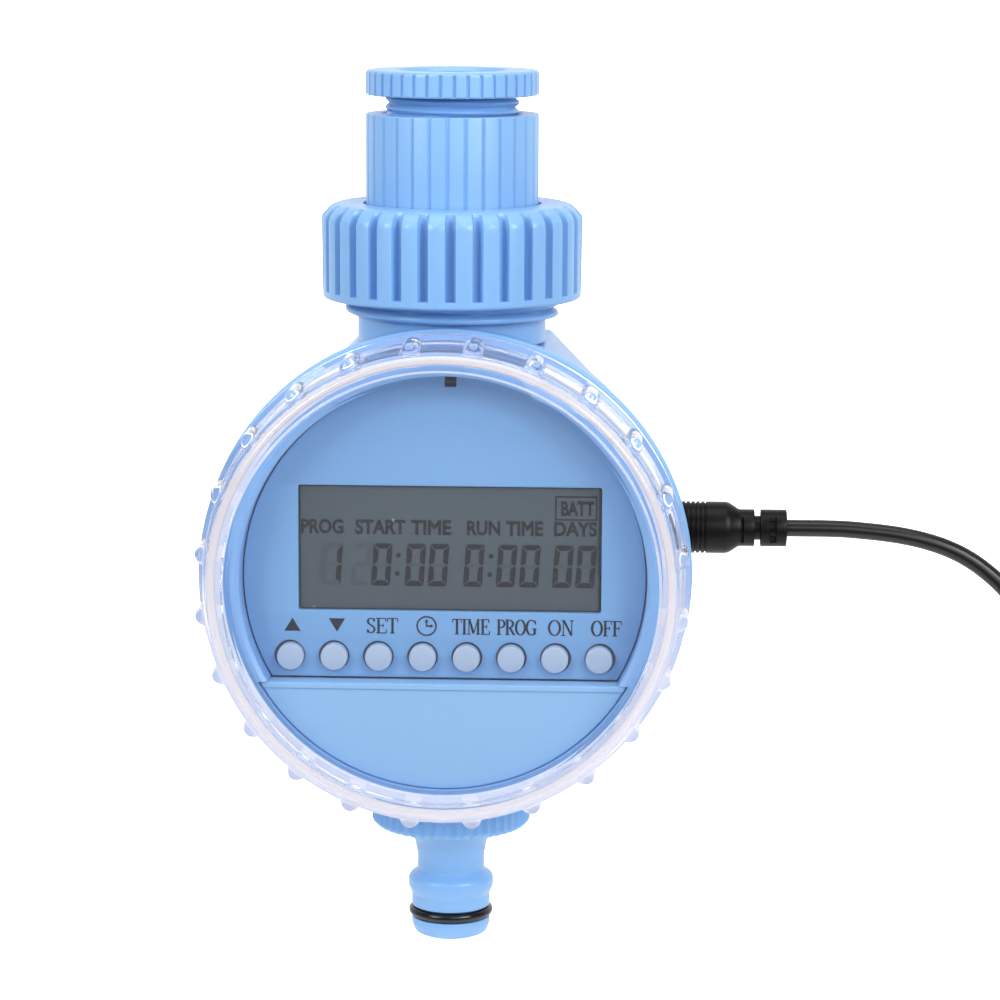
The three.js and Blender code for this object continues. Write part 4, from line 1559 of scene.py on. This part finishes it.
class Relief:
    """Thin printed shapes gathered into one mesh, each a closed prism."""

    def __init__(self, base: float, thickness: float = 0.03) -> None:
        """Starts on a face at the forward distance base."""
        self.work = bmesh.new()
        self.base, self.top = base, base + thickness

    def shape(self, points: Profile) -> None:
        """Adds one shape, a hair thicker than the last, so that no two faces share a plane.

        Args:
            points: Its outline.
        """
        self.top += 0.0004
        low = [self.work.verts.new((x, y, self.base - 0.02)) for x, y in points]
        high = [self.work.verts.new((x, y, self.top)) for x, y in points]
        self.work.faces.new(low[::-1])
        self.work.faces.new(high)
        for i in range(len(points)):
            j = (i + 1) % len(points)
            self.work.faces.new((low[i], low[j], high[j], high[i]))

    def stroke(self, points: Profile, thick: float, thin: float) -> None:
        """Adds a pen stroke, thick where it runs up or down and thin where it runs across.

        Args:
            points: The pen's path.
            thick: Its width where it runs up or down.
            thin: Its width where it runs across.
        """
        left, right = [], []
        for i, (x, y) in enumerate(points):
            before, after = points[max(i - 1, 0)], points[min(i + 1, len(points) - 1)]
            along = Vector((after[0] - before[0], after[1] - before[1])).normalized()
            half = (thin + (thick - thin) * abs(along.y) ** 1.5) / 2
            left.append((x - along.y * half, y + along.x * half))
            right.append((x + along.y * half, y - along.x * half))
        self.shape(left + right[::-1])

    def mesh(self) -> bpy.types.Mesh:
        """Closes the relief.

        Returns:
            The shapes as one mesh that faces forward, in metres.
        """
        bmesh.ops.recalc_face_normals(self.work, faces=self.work.faces)
        mesh = bpy.data.meshes.new("relief")
        self.work.to_mesh(mesh)
        self.work.free()
        return moved(mesh, Facing.FORWARD.matrix())


def arc(
    x: float, y: float, rx: float, ry: float, start: float, end: float, steps: int = 14
) -> Profile:
    """Points on part of an ellipse, from one angle to another in degrees."""
    angles = [math.radians(start + (end - start) * k / steps) for k in range(steps + 1)]
    return [(x + rx * math.cos(a), y + ry * math.sin(a)) for a in angles]


def bars(*lines: tuple[float, float, float, float]) -> list[Profile]:
    """Straight pen strokes, (x0, y0, x1, y1) each."""
    return [[(x0, y0), (x1, y1)] for x0, y0, x1, y1 in lines]


BOWL = [(0.14, 0.98), *arc(0.26, 0.73, 0.26, 0.25, 90, -90), (0.14, 0.48)]
# Serif capitals as pen strokes on a cap height of 1: (width, heavy strokes, light strokes).
LETTERS: dict[str, tuple[float, list[Profile], list[Profile]]] = {
    "E": (
        0.60,
        bars((0.15, 0, 0.15, 1)),
        bars(
            (0.02, 0.985, 0.53, 0.985), (0.53, 1, 0.53, 0.78), (0.15, 0.52, 0.4, 0.52),
            (0.4, 0.4, 0.4, 0.64), (0.02, 0.015, 0.55, 0.015), (0.56, 0, 0.57, 0.25),
        ),
    ),
    "F": (
        0.57,
        bars((0.15, 0, 0.15, 1)),
        bars(
            (0.02, 0.985, 0.53, 0.985), (0.53, 1, 0.53, 0.76), (0.15, 0.52, 0.4, 0.52),
            (0.4, 0.4, 0.4, 0.64), (0.02, 0.015, 0.3, 0.015),
        ),
    ),
    "G": (
        0.72,
        [arc(0.36, 0.5, 0.3, 0.49, 60, 300, 22), [(0.58, 0.05), (0.58, 0.42)]],
        [
            arc(0.36, 0.5, 0.3, 0.49, 25, 62, 6), arc(0.36, 0.5, 0.3, 0.49, 298, 322, 6),
            *bars((0.44, 0.42, 0.7, 0.42), (0.62, 0.7, 0.62, 0.97)),
        ],
    ),
    "I": (
        0.32,
        bars((0.16, 0, 0.16, 1)),
        bars((0.03, 0.985, 0.29, 0.985), (0.03, 0.015, 0.29, 0.015)),
    ),
    "M": (
        0.84,
        bars((0.7, 0, 0.7, 1), (0.15, 1, 0.42, 0.06)),
        bars(
            (0.13, 0, 0.13, 1), (0.42, 0.06, 0.69, 1), (0.01, 0.985, 0.19, 0.985),
            (0.65, 0.985, 0.83, 0.985), (0.02, 0.015, 0.24, 0.015), (0.57, 0.015, 0.83, 0.015),
        ),
    ),
    "N": (
        0.70,
        bars((0.14, 1, 0.56, 0.02)),
        bars(
            (0.12, 0, 0.12, 1), (0.57, 0, 0.57, 1), (0.01, 0.985, 0.18, 0.985),
            (0.46, 0.985, 0.68, 0.985), (0.01, 0.015, 0.24, 0.015),
        ),
    ),
    "O": (
        0.70,
        [arc(0.35, 0.5, 0.29, 0.49, 88, 272, 20), arc(0.35, 0.5, 0.29, 0.49, -92, 92, 20)],
        [],
    ),
    "P": (
        0.55,
        [*bars((0.15, 0, 0.15, 1)), BOWL],
        bars((0.02, 0.985, 0.2, 0.985), (0.02, 0.015, 0.3, 0.015)),
    ),
    "R": (
        0.66,
        [*bars((0.15, 0, 0.15, 1), (0.3, 0.5, 0.58, 0.02)), BOWL],
        bars((0.02, 0.985, 0.2, 0.985), (0.02, 0.015, 0.3, 0.015), (0.52, 0.015, 0.68, 0.015)),
    ),
    "S": (
        0.50,
        [
            [
                (0.43, 0.8), (0.38, 0.92), (0.27, 0.985), (0.14, 0.95), (0.08, 0.83), (0.09, 0.7),
                (0.18, 0.59), (0.3, 0.49), (0.41, 0.38), (0.44, 0.24), (0.38, 0.08), (0.25, 0.012),
                (0.13, 0.07), (0.06, 0.22),
            ]
        ],
        bars((0.43, 0.76, 0.43, 0.99), (0.055, 0.01, 0.055, 0.26)),
    ),
    "T": (
        0.60,
        bars((0.3, 0, 0.3, 1)),
        bars(
            (0.03, 0.985, 0.57, 0.985), (0.03, 1, 0.03, 0.76), (0.57, 1, 0.57, 0.76),
            (0.17, 0.015, 0.43, 0.015),
        ),
    ),
}


@dataclass
class Face:
    """The face panel, its legends, the lower panel with its bead, and the keys."""

    panel_radius: float = 39.1
    panel_front: float = 23.5
    panel_bottom: float = -116.6
    opening: tuple[float, float, float, float] = (-28.45, 30.5, -103.4, -78.7)
    key_first: float = -30.2
    key_step: float = 8.655
    key_height: float = -112.4
    key_count: int = 8
    legend_height: float = -107.85
    cap: float = 3.0
    words: tuple[tuple[str, float, float], ...] = (
        ("SET", -15.2, -9.0), ("TIME", 1.55, 8.9), ("PROG", 10.2, 18.05), ("ON", 20.2, 25.3),
        ("OFF", 28.6, 34.55),
    )

    def keys_x(self) -> list[float]:
        """Returns the keys' places from the left."""
        return [self.key_first + i * self.key_step for i in range(self.key_count)]

    def panel(self) -> None:
        """Builds the face panel with its openings."""
        x0, x1, z0, z1 = self.opening
        r, bottom = self.panel_radius, self.panel_bottom
        reach = math.asin((bottom - DIAL_Z) / r)
        steps = 150
        sweep = math.pi - 2 * reach
        points = [
            (
                r * math.cos(reach + sweep * k / steps),
                DIAL_Z + r * math.sin(reach + sweep * k / steps),
            )
            for k in range(steps + 1)
        ]
        corner = 0.4
        outline = [(*points[0], corner), *points[2:]]
        notch = [(0, -57.62), (0, -59.3), (2.2, -59.3), (2.2, -57.68)]
        right = [p for p in outline[1:] if p[0] > 2.2]
        left = [p for p in outline[1:-2] if p[0] < 0]
        outline = rounded([outline[0], *right, *notch[::-1], *left, (*points[-1], corner)], 6)
        window = rounded([(x0, z0, 0.4), (x1, z0, 0.4), (x1, z1, 0.4), (x0, z1, 0.4)], 3)
        holes = tuple(circle(x, self.key_height, 2.97) for x in self.keys_x())
        mesh = plate(outline, (21.5, self.panel_front), 0.15, (window, *holes))
        mesh = moved(mesh, Facing.FORWARD.matrix())
        fitted("dial_panel", mesh, PANEL, "housing", ("face_panel",))

    def word(self, relief: Relief, text: str, left: float, right: float) -> None:
        """Writes one word with a broad pen.

        Args:
            relief: Where it goes.
            text: The word.
            left: Where it starts.
            right: Where it ends.
        """
        natural = sum(LETTERS[c][0] for c in text)
        across = (right - left) / natural
        x = left
        for letter in text:
            width, heavy, light = LETTERS[letter]
            for strokes, thick in ((heavy, 0.46), (light, 0.2)):
                for points in strokes:
                    placed = [
                        (x + px * across, self.legend_height + py * self.cap) for px, py in points
                    ]
                    relief.stroke(placed, thick, 0.19)
            x += width * across

    def legends(self) -> None:
        """Prints the arrows, the clock and the words above the keys."""
        relief = Relief(self.panel_front)
        up, middle = self.keys_x()[0] + 0.55, self.legend_height + 1.55
        down = self.keys_x()[1] + 0.6
        half, base, tip = 1.6, 1.3, 1.35
        relief.shape([(up - half, middle - base), (up + half, middle - base), (up, middle + tip)])
        relief.shape(
            [(down + half, middle + base), (down - half, middle + base), (down, middle - tip)]
        )
        for word, left, right in self.words:
            self.word(relief, word, left, right)
        x, z = -3.45, self.legend_height + 1.55
        for start in (0, 178):
            relief.stroke(arc(x, z, 1.85, 1.85, start, start + 184, 20), 0.3, 0.3)
        relief.stroke([(x, z + 1.25), (x, z - 0.15)], 0.3, 0.3)
        relief.stroke([(x - 0.14, z), (x + 1.2, z)], 0.3, 0.3)
        relief.shape([(x - 0.4, z + 0.75), (x + 0.4, z + 0.75), (x, z + 1.4)])
        relief.shape([(x + 0.75, z + 0.38), (x + 0.75, z - 0.38), (x + 1.35, z)])
        fitted("key_legends", relief.mesh(), INK, "housing", sharp=20)

    def door(self) -> None:
        """Builds the lower panel and the bead along its top."""
        disc = plate(Housing.segment(40.95, -117.7, 0.3), (24.4, 28), 0.3)
        inner = Housing.segment(39.2, -120.5, 0)
        skirt = plate(Housing.segment(40.8, -118.5, 0), (21.8, 26.5), 0.05, (inner,))
        ends = rounded(
            [(-35.6, -116.75, 0.3), (35.6, -116.75, 0.3), (34.95, -118, 0.3), (-34.95, -118, 0.3)]
        )
        bar = plate(ends, (23.8, 28.45), 0.3)
        mesh = moved(joined(disc, skirt, bar), Facing.FORWARD.matrix())
        # The door's finish is lighter than the panel's, and the difference is partly painted light.
        fitted("battery_door", mesh, LIT_DOOR_BLUE, "housing", ("lower_panel",))

    def keys(self) -> None:
        """Builds the eight round key caps."""
        profile = rounded(
            [(0, 20.2), (3.2, 20.2), (3.2, 21.1), (2.62, 21.1), (2.62, 25.15, 0.3), (0, 25.2)], 4
        )
        for i, x in enumerate(self.keys_x(), 1):
            lean = -0.006 * x + 0.05 * math.sin(2.3 * i)
            mesh = turned(profile, even(64))
            mesh = moved(mesh, Facing.FORWARD.matrix((x + lean, 0, self.key_height - 0.08)))
            fitted(f"key_{i}", mesh, CAP, f"key_{i}", (f"button_{i}",))

    def build(self) -> None:
        """Builds the face."""
        self.panel()
        self.legends()
        self.door()
        self.keys()


# ---------------------------------------------------------------- display


@dataclass
class Display:
    """The display glass with its headings, figures and battery sign."""

    front: float = 22.5
    figure_top: float = -90.2
    figure_bottom: float = -98.6
    figure_width: float = 3.7
    slant: float = 0.07
    heading_base: float = -88.45
    heading_cap: float = 2.95
    type_size: float = 4
    type_weight: float = 0.16
    type_relief: float = 0.12
    zeros: tuple[float, ...] = (-12.25, -5.7, -1.2, 5.7, 12.05, 16.6, 23.0, 27.5)
    colons: tuple[float, ...] = (-9.1, 8.9)
    headings: tuple[tuple[str, float, float], ...] = (
        ("PROG", -28.0, -19.7), ("START", -17.4, -7.6), ("TIME", -6.6, 1.3), ("RUN", 4.3, 10.8),
        ("TIME", 11.9, 19.1), ("DAYS", 21.2, 29.6),
    )

    def glass(self) -> None:
        """Builds the glass, with a small tab at its right edge."""
        outline = [
            (-28.15, -103.1), (30.0, -103.1), (30.0, -95.9), (30.4, -95.6), (30.4, -88.4),
            (30.0, -88.1), (30.0, -79), (-28.15, -79),
        ]
        mesh = moved(plate(outline, (21.5, self.front), 0.06), Facing.FORWARD.matrix())
        fitted("display_glass", mesh, DISPLAY, "housing", ("lcd_window",))
        tab = [(29.85, -95.8), (30.45, -95.8), (30.45, -88.2), (29.85, -88.2)]
        tab = plate(tab, (22, 22.9), 0.05)
        strip = plate([(29.9, -88), (30.3, -88), (30.3, -79), (29.9, -79)], (22, 22.7), 0.05)
        edge = moved(joined(tab, strip), Facing.FORWARD.matrix())
        fitted("display_edge_tab", edge, INK, "housing")

    def segment(self, relief: Relief, x: float, which: str, scale: float = 1) -> None:
        """Adds the named segments of one figure.

        Args:
            relief: Where they go.
            x: The figure's middle.
            which: The segments, a to g, clockwise from the top with g across the middle.
            scale: How heavy the strokes are.
        """
        tall = self.figure_top - self.figure_bottom
        half, weight, gap = self.figure_width / 2, 1.05 * scale, 0.1
        middle = (self.figure_top + self.figure_bottom) / 2
        reach = tall / 2
        chamfer = weight * 0.55
        level = half - gap
        across = [
            (-level, 0), (-level + 0.3, 0.3), (level - 0.3, 0.3), (level, 0),
            (level - chamfer - 0.3, -weight + 0.3), (-level + chamfer + 0.3, -weight + 0.3),
        ]
        upright = [
            (0, gap * 2), (0, reach - gap * 2.5), (-chamfer, reach - weight * 0.95),
            (-weight, reach - weight * 1.25), (-weight, chamfer + gap), (-weight / 2, gap),
        ]
        places = {
            "a": [(p, q + reach - 0.3) for p, q in across],
            "d": [(p, -q - reach + 0.3) for p, q in across],
            "b": [(half + p, q) for p, q in upright],
            "f": [(-half - p, q) for p, q in upright],
            "c": [(half + p, -q) for p, q in upright],
            "e": [(-half - p, -q) for p, q in upright],
            "g": [(-level + 0.5, 0), (-level + 0.9, 0.38), (level - 0.9, 0.38), (level - 0.5, 0),
                  (level - 0.9, -0.38), (-level + 0.9, -0.38)],
        }
        for name in which:
            relief.shape([(x + p + self.slant * q, middle + q) for p, q in places[name]])

    def figures(self) -> None:
        """Builds the lit and the faint segments."""
        lit, faint = Relief(self.front), Relief(self.front)
        self.segment(lit, -21.9, "bc")
        self.segment(faint, -21.9, "adefg", 0.9)
        self.segment(faint, -16.2, "abged", 0.9)
        self.segment(faint, -25.6, "bc", 0.7)
        for x in self.zeros:
            self.segment(lit, x, "abcdef")
            self.segment(faint, x, "g", 0.8)
        middle = (self.figure_top + self.figure_bottom) / 2
        for x in self.colons:
            for rise in (1.9, -1.75):
                lit.shape(circle(x + self.slant * rise, middle + rise, 0.48, 16))
        for loop in self.frame_lines():
            lit.shape(loop)
        fitted("display_figures", lit.mesh(), SEGMENT, "housing", sharp=20)
        fitted("display_faint_figures", faint.mesh(), GHOST, "housing", sharp=20)

    @staticmethod
    def frame_lines() -> list[Profile]:
        """Draws the box round the battery sign.

        Returns:
            Its four lines.
        """
        x0, x1, z0, z1, line = 21.4, 29.6, -85.3, -80.5, 0.3
        return [
            [(x0, z0), (x1, z0), (x1, z0 + line), (x0, z0 + line)],
            [(x0, z1 - line), (x1, z1 - line), (x1, z1), (x0, z1)],
            [(x0, z0), (x0 + line, z0), (x0 + line, z1), (x0, z1)],
            [(x1 - line, z0), (x1, z0), (x1, z1), (x1 - line, z1)],
        ]

    def text(
        self, words: str, left: float, right: float, base: float, cap: float
    ) -> bpy.types.Mesh:
        """Sets a word between two places with the built-in typeface.

        Args:
            words: The word.
            left: Where it starts.
            right: Where it ends.
            base: The height of its foot.
            cap: The height of its capitals.

        Returns:
            The word as a mesh that faces forward.
        """
        curve = bpy.data.curves.new("word", "FONT")
        curve.body, curve.size, curve.bevel_depth = words, self.type_size, self.type_weight
        curve.resolution_u, curve.bevel_resolution = 4, 1
        mesh = taken(with_temporary(curve))
        xs = [v.co.x for v in mesh.vertices]
        ys = [v.co.y for v in mesh.vertices]
        wide, tall = max(xs) - min(xs), max(ys) - min(ys)
        fit = Matrix.Diagonal(((right - left) / wide, cap / tall, self.type_relief, 1))
        shift = Matrix.Translation((left, base, self.front)) @ fit
        mesh.transform(shift @ Matrix.Translation((-min(xs), -min(ys), 0)))
        return mesh

    def build(self) -> None:
        """Builds the display."""
        self.glass()
        self.figures()
        words = [
            self.text(word, left, right, self.heading_base, self.heading_cap)
            for word, left, right in self.headings
        ]
        words.append(self.text("BATT", 22.6, 29.0, -84.45, 3.0))
        mesh = moved(joined(*words), Facing.FORWARD.matrix())
        fitted("display_headings", mesh, SEGMENT, "housing", sharp=20)


# ---------------------------------------------------------------- clear cover


@dataclass
class Cover:
    """The clear screw cover with its grip bumps, and the gasket inside it."""

    rear: float = 22.5
    front: float = 38.6
    bore: float = 44.6
    bumps: int = 24

    def shell(self) -> None:
        """Builds the cup: a domed rim, a thick wall with bumps, and a foot."""
        profile = rounded(
            [
                (0, 36.6), (41.5, 36.6, 0.4), (42.0, 36.3, 0.3), (self.bore, 36.3, 0.4),
                (self.bore, self.rear, 0.15), (47.6, self.rear, 0.3), (47.6, 25.9, 0.3),
                (46.6, 26.5, 0.4), (45.6, 36.7, 1.0), (44.1, 38.1, 1.2), (40.5, 38.6, 2.0),
                (0, self.front),
            ],
            5,
        )
        profile = dense(profile, 0.38, 26.6, 36.6)
        mesh = turned(profile, stations(self.bumps, 0.33, ROUND, 7))
        studs = Pattern(
            self.bumps, 47.55, 0.33, 26.4, 36.6, 0.5, 1.6, inner=45.2, power=2, crown=0.8
        )
        mesh = patterned(mesh, CRYSTAL, studs)
        mesh = moved(mesh, Facing.FORWARD.matrix(ON_DIAL))
        fitted("cover", mesh, CRYSTAL, "cover", ("clear_cover",), sharp=28)

    def gasket(self) -> None:
        """Builds the cream ring in the cover's front corner."""
        ring = [(43.0, 34.6, 0.5), (44.3, 34.6, 0.5), (44.3, 36.1, 0.4), (43.0, 36.1, 0.4)]
        mesh = turned(rounded(ring, 4), even(DIAL_SEGMENTS))
        mesh = moved(mesh, Facing.FORWARD.matrix(ON_DIAL))
        fitted(
            "cover_ring_seal", mesh, CREAM, "cover_seal", ("cover_gasket",)
        )

    def step(self) -> None:
        """Builds the cloudy ring that meets the boss, and the small pads on it."""
        ring = [(41.8, 29.4, 0.2), (43.7, 29.4, 0.2), (43.7, 30.5, 0.3), (41.8, 30.5, 0.3)]
        base = turned(rounded(ring, 3), even(DIAL_SEGMENTS))
        pad = box((-0.8, -1.6, 30.6), (0.8, 1.6, 31.3), 0.2)
        values = {"Count": self.bumps, "Radius": 42.7}
        pads = grown(pad, RING, CLOUDY, values)
        pads = moved(pads, Matrix.Rotation(TAU / self.bumps / 2, 4, "Z"))
        mesh = moved(joined(base, pads), Facing.FORWARD.matrix(ON_DIAL))
        fitted("cover_inner_step", mesh, CLOUDY, "cover")

    def build(self) -> None:
        """Builds the cover, its gasket and the ring inside."""
        self.shell()
        self.gasket()
        self.step()


# ---------------------------------------------------------------- outlet


@dataclass
class Outlet:
    """The hose nipple with its scalloped skirt, and its sealing ring."""

    scallops: int = 48

    def nipple(self) -> None:
        """Builds the nipple in one turned piece with a scalloped skirt."""
        profile = rounded(
            [
                (4.8, -175, 0.4), (5.6, -175, 0.6), (7.3, -174.3, 0.8), (7.93, -172.6, 0.8),
                (7.93, -171.2, 0.15), (6.9, -171.2, 0.2), (6.9, -168.8, 0.2), (7.93, -168.8, 0.15),
                (7.93, -166.3, 0.8), (8.6, -164.8, 1.0), (8.6, -162.8, 1.3), (6.78, -161.4, 0.5),
                (6.78, -158.4, 4), (7.3, -155.4, 3), (8.6, -153.4, 1.5), (10.2, -152.2, 0.5),
                (10.6, -151.8, 0.4), (14.9, -151.6, 0.5), (16, -150.8, 0.5), (16, -142.2, 0.5),
                (13.4, -142.2, 0.2), (13.4, -149.2), (4.8, -149.2),
            ],
            6,
        )
        mesh = turned(profile, even(self.scallops * 10))
        skirt = Pattern(
            self.scallops, 15.2, 1.0, -152.2, -141.9, 0.2, 0.4, inner=14.3, outer=16.2, power=2
        )
        mesh = patterned(mesh, HOUSING, skirt)
        mesh = moved(mesh, Facing.UP.matrix())
        fitted("hose_nipple", mesh, HOUSING, "nipple", ("outlet_nipple",))

    def ring(self) -> None:
        """Builds the black sealing ring in the nipple's groove."""
        section = circle(7.6, -170, 0.92, 24)
        mesh = moved(turned(section, even(PIPE_SEGMENTS)), Facing.UP.matrix())
        fitted("nipple_ring", mesh, RUBBER, "nipple", ("nipple_oring",), 60)

    def tail(self) -> None:
        """Builds the valve's threaded tail, which the nipple screws onto."""
        profile = rounded(
            [
                (5, -89.4), (8.7, -89.4), (8.7, -91.3), (13.4, -91.3), (13.4, -93.5, 0.5),
                (8, -95, 0.8), (8, -141.5), (12.2, -141.5, 0.2), (12.2, -147, 0.4),
                (6.6, -147, 0.3), (6.2, -120), (5, -100),
            ]
        )
        mesh = turned(dense(profile, 0.2, -146.9, -141.6), even(PIPE_SEGMENTS))
        thread = Pattern(
            1, 13.1, 0.95, -146.9, -141.6, 0.5, 0.3, inner=11.6, outer=12.6, power=2.4,
            twist=1 / 1.814,
        )
        mesh = moved(patterned(mesh, HOUSING, thread), Facing.UP.matrix())
        fitted("valve_tail", mesh, HOUSING, "housing", ("valve_tailpiece",))

    def build(self) -> None:
        """Builds the outlet."""
        self.nipple()
        self.ring()
        self.tail()


# ---------------------------------------------------------------- works


@dataclass
class Works:
    """What stays as the part has it: the works inside the housing, each in its finish."""

    finishes: dict[str, Moulded] = field(
        default_factory=lambda: {
            "filter_screen": WHITE, "valve_ball": STEEL, "valve_stem": BRASS, "seat_upper": WHITE,
            "seat_lower": WHITE, "stem_oring": RUBBER, "output_gear": WHITE, "idler_gear": WHITE,
            "motor_pinion": BRASS, "gear_plate": STEEL, "gear_motor": STEEL,
            "housing_seal": RUBBER, "battery_tray": WHITE, "battery_left": CELL,
            "battery_right": CELL, "battery_spring_left": STEEL, "battery_spring_right": STEEL,
            "lcd_module": DISPLAY, "key_mat": WHITE, "main_pcb": BOARD, "dc_socket": PLUG,
            "outlet_washer": RUBBER,
        }
    )

    def build(self) -> None:
        """Gives each kept node its finish."""
        for name, finish in self.finishes.items():
            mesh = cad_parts[name].data
            mesh.materials.clear()
            mesh.materials.append(finish.material())
            LOG.info("%s keeps its shape", name)


def main() -> None:
    """Builds the whole timer."""
    logging.basicConfig(level=logging.INFO)
    studio = Studio()
    studio.camera()
    PowerLead().build()
    for assembly in (Inlet(), Housing(), Face(), Display(), Cover(), Outlet(), Works()):
        assembly.build()
    studio.lights()
    studio.sweep()


if __name__ == "__main__":
    main()
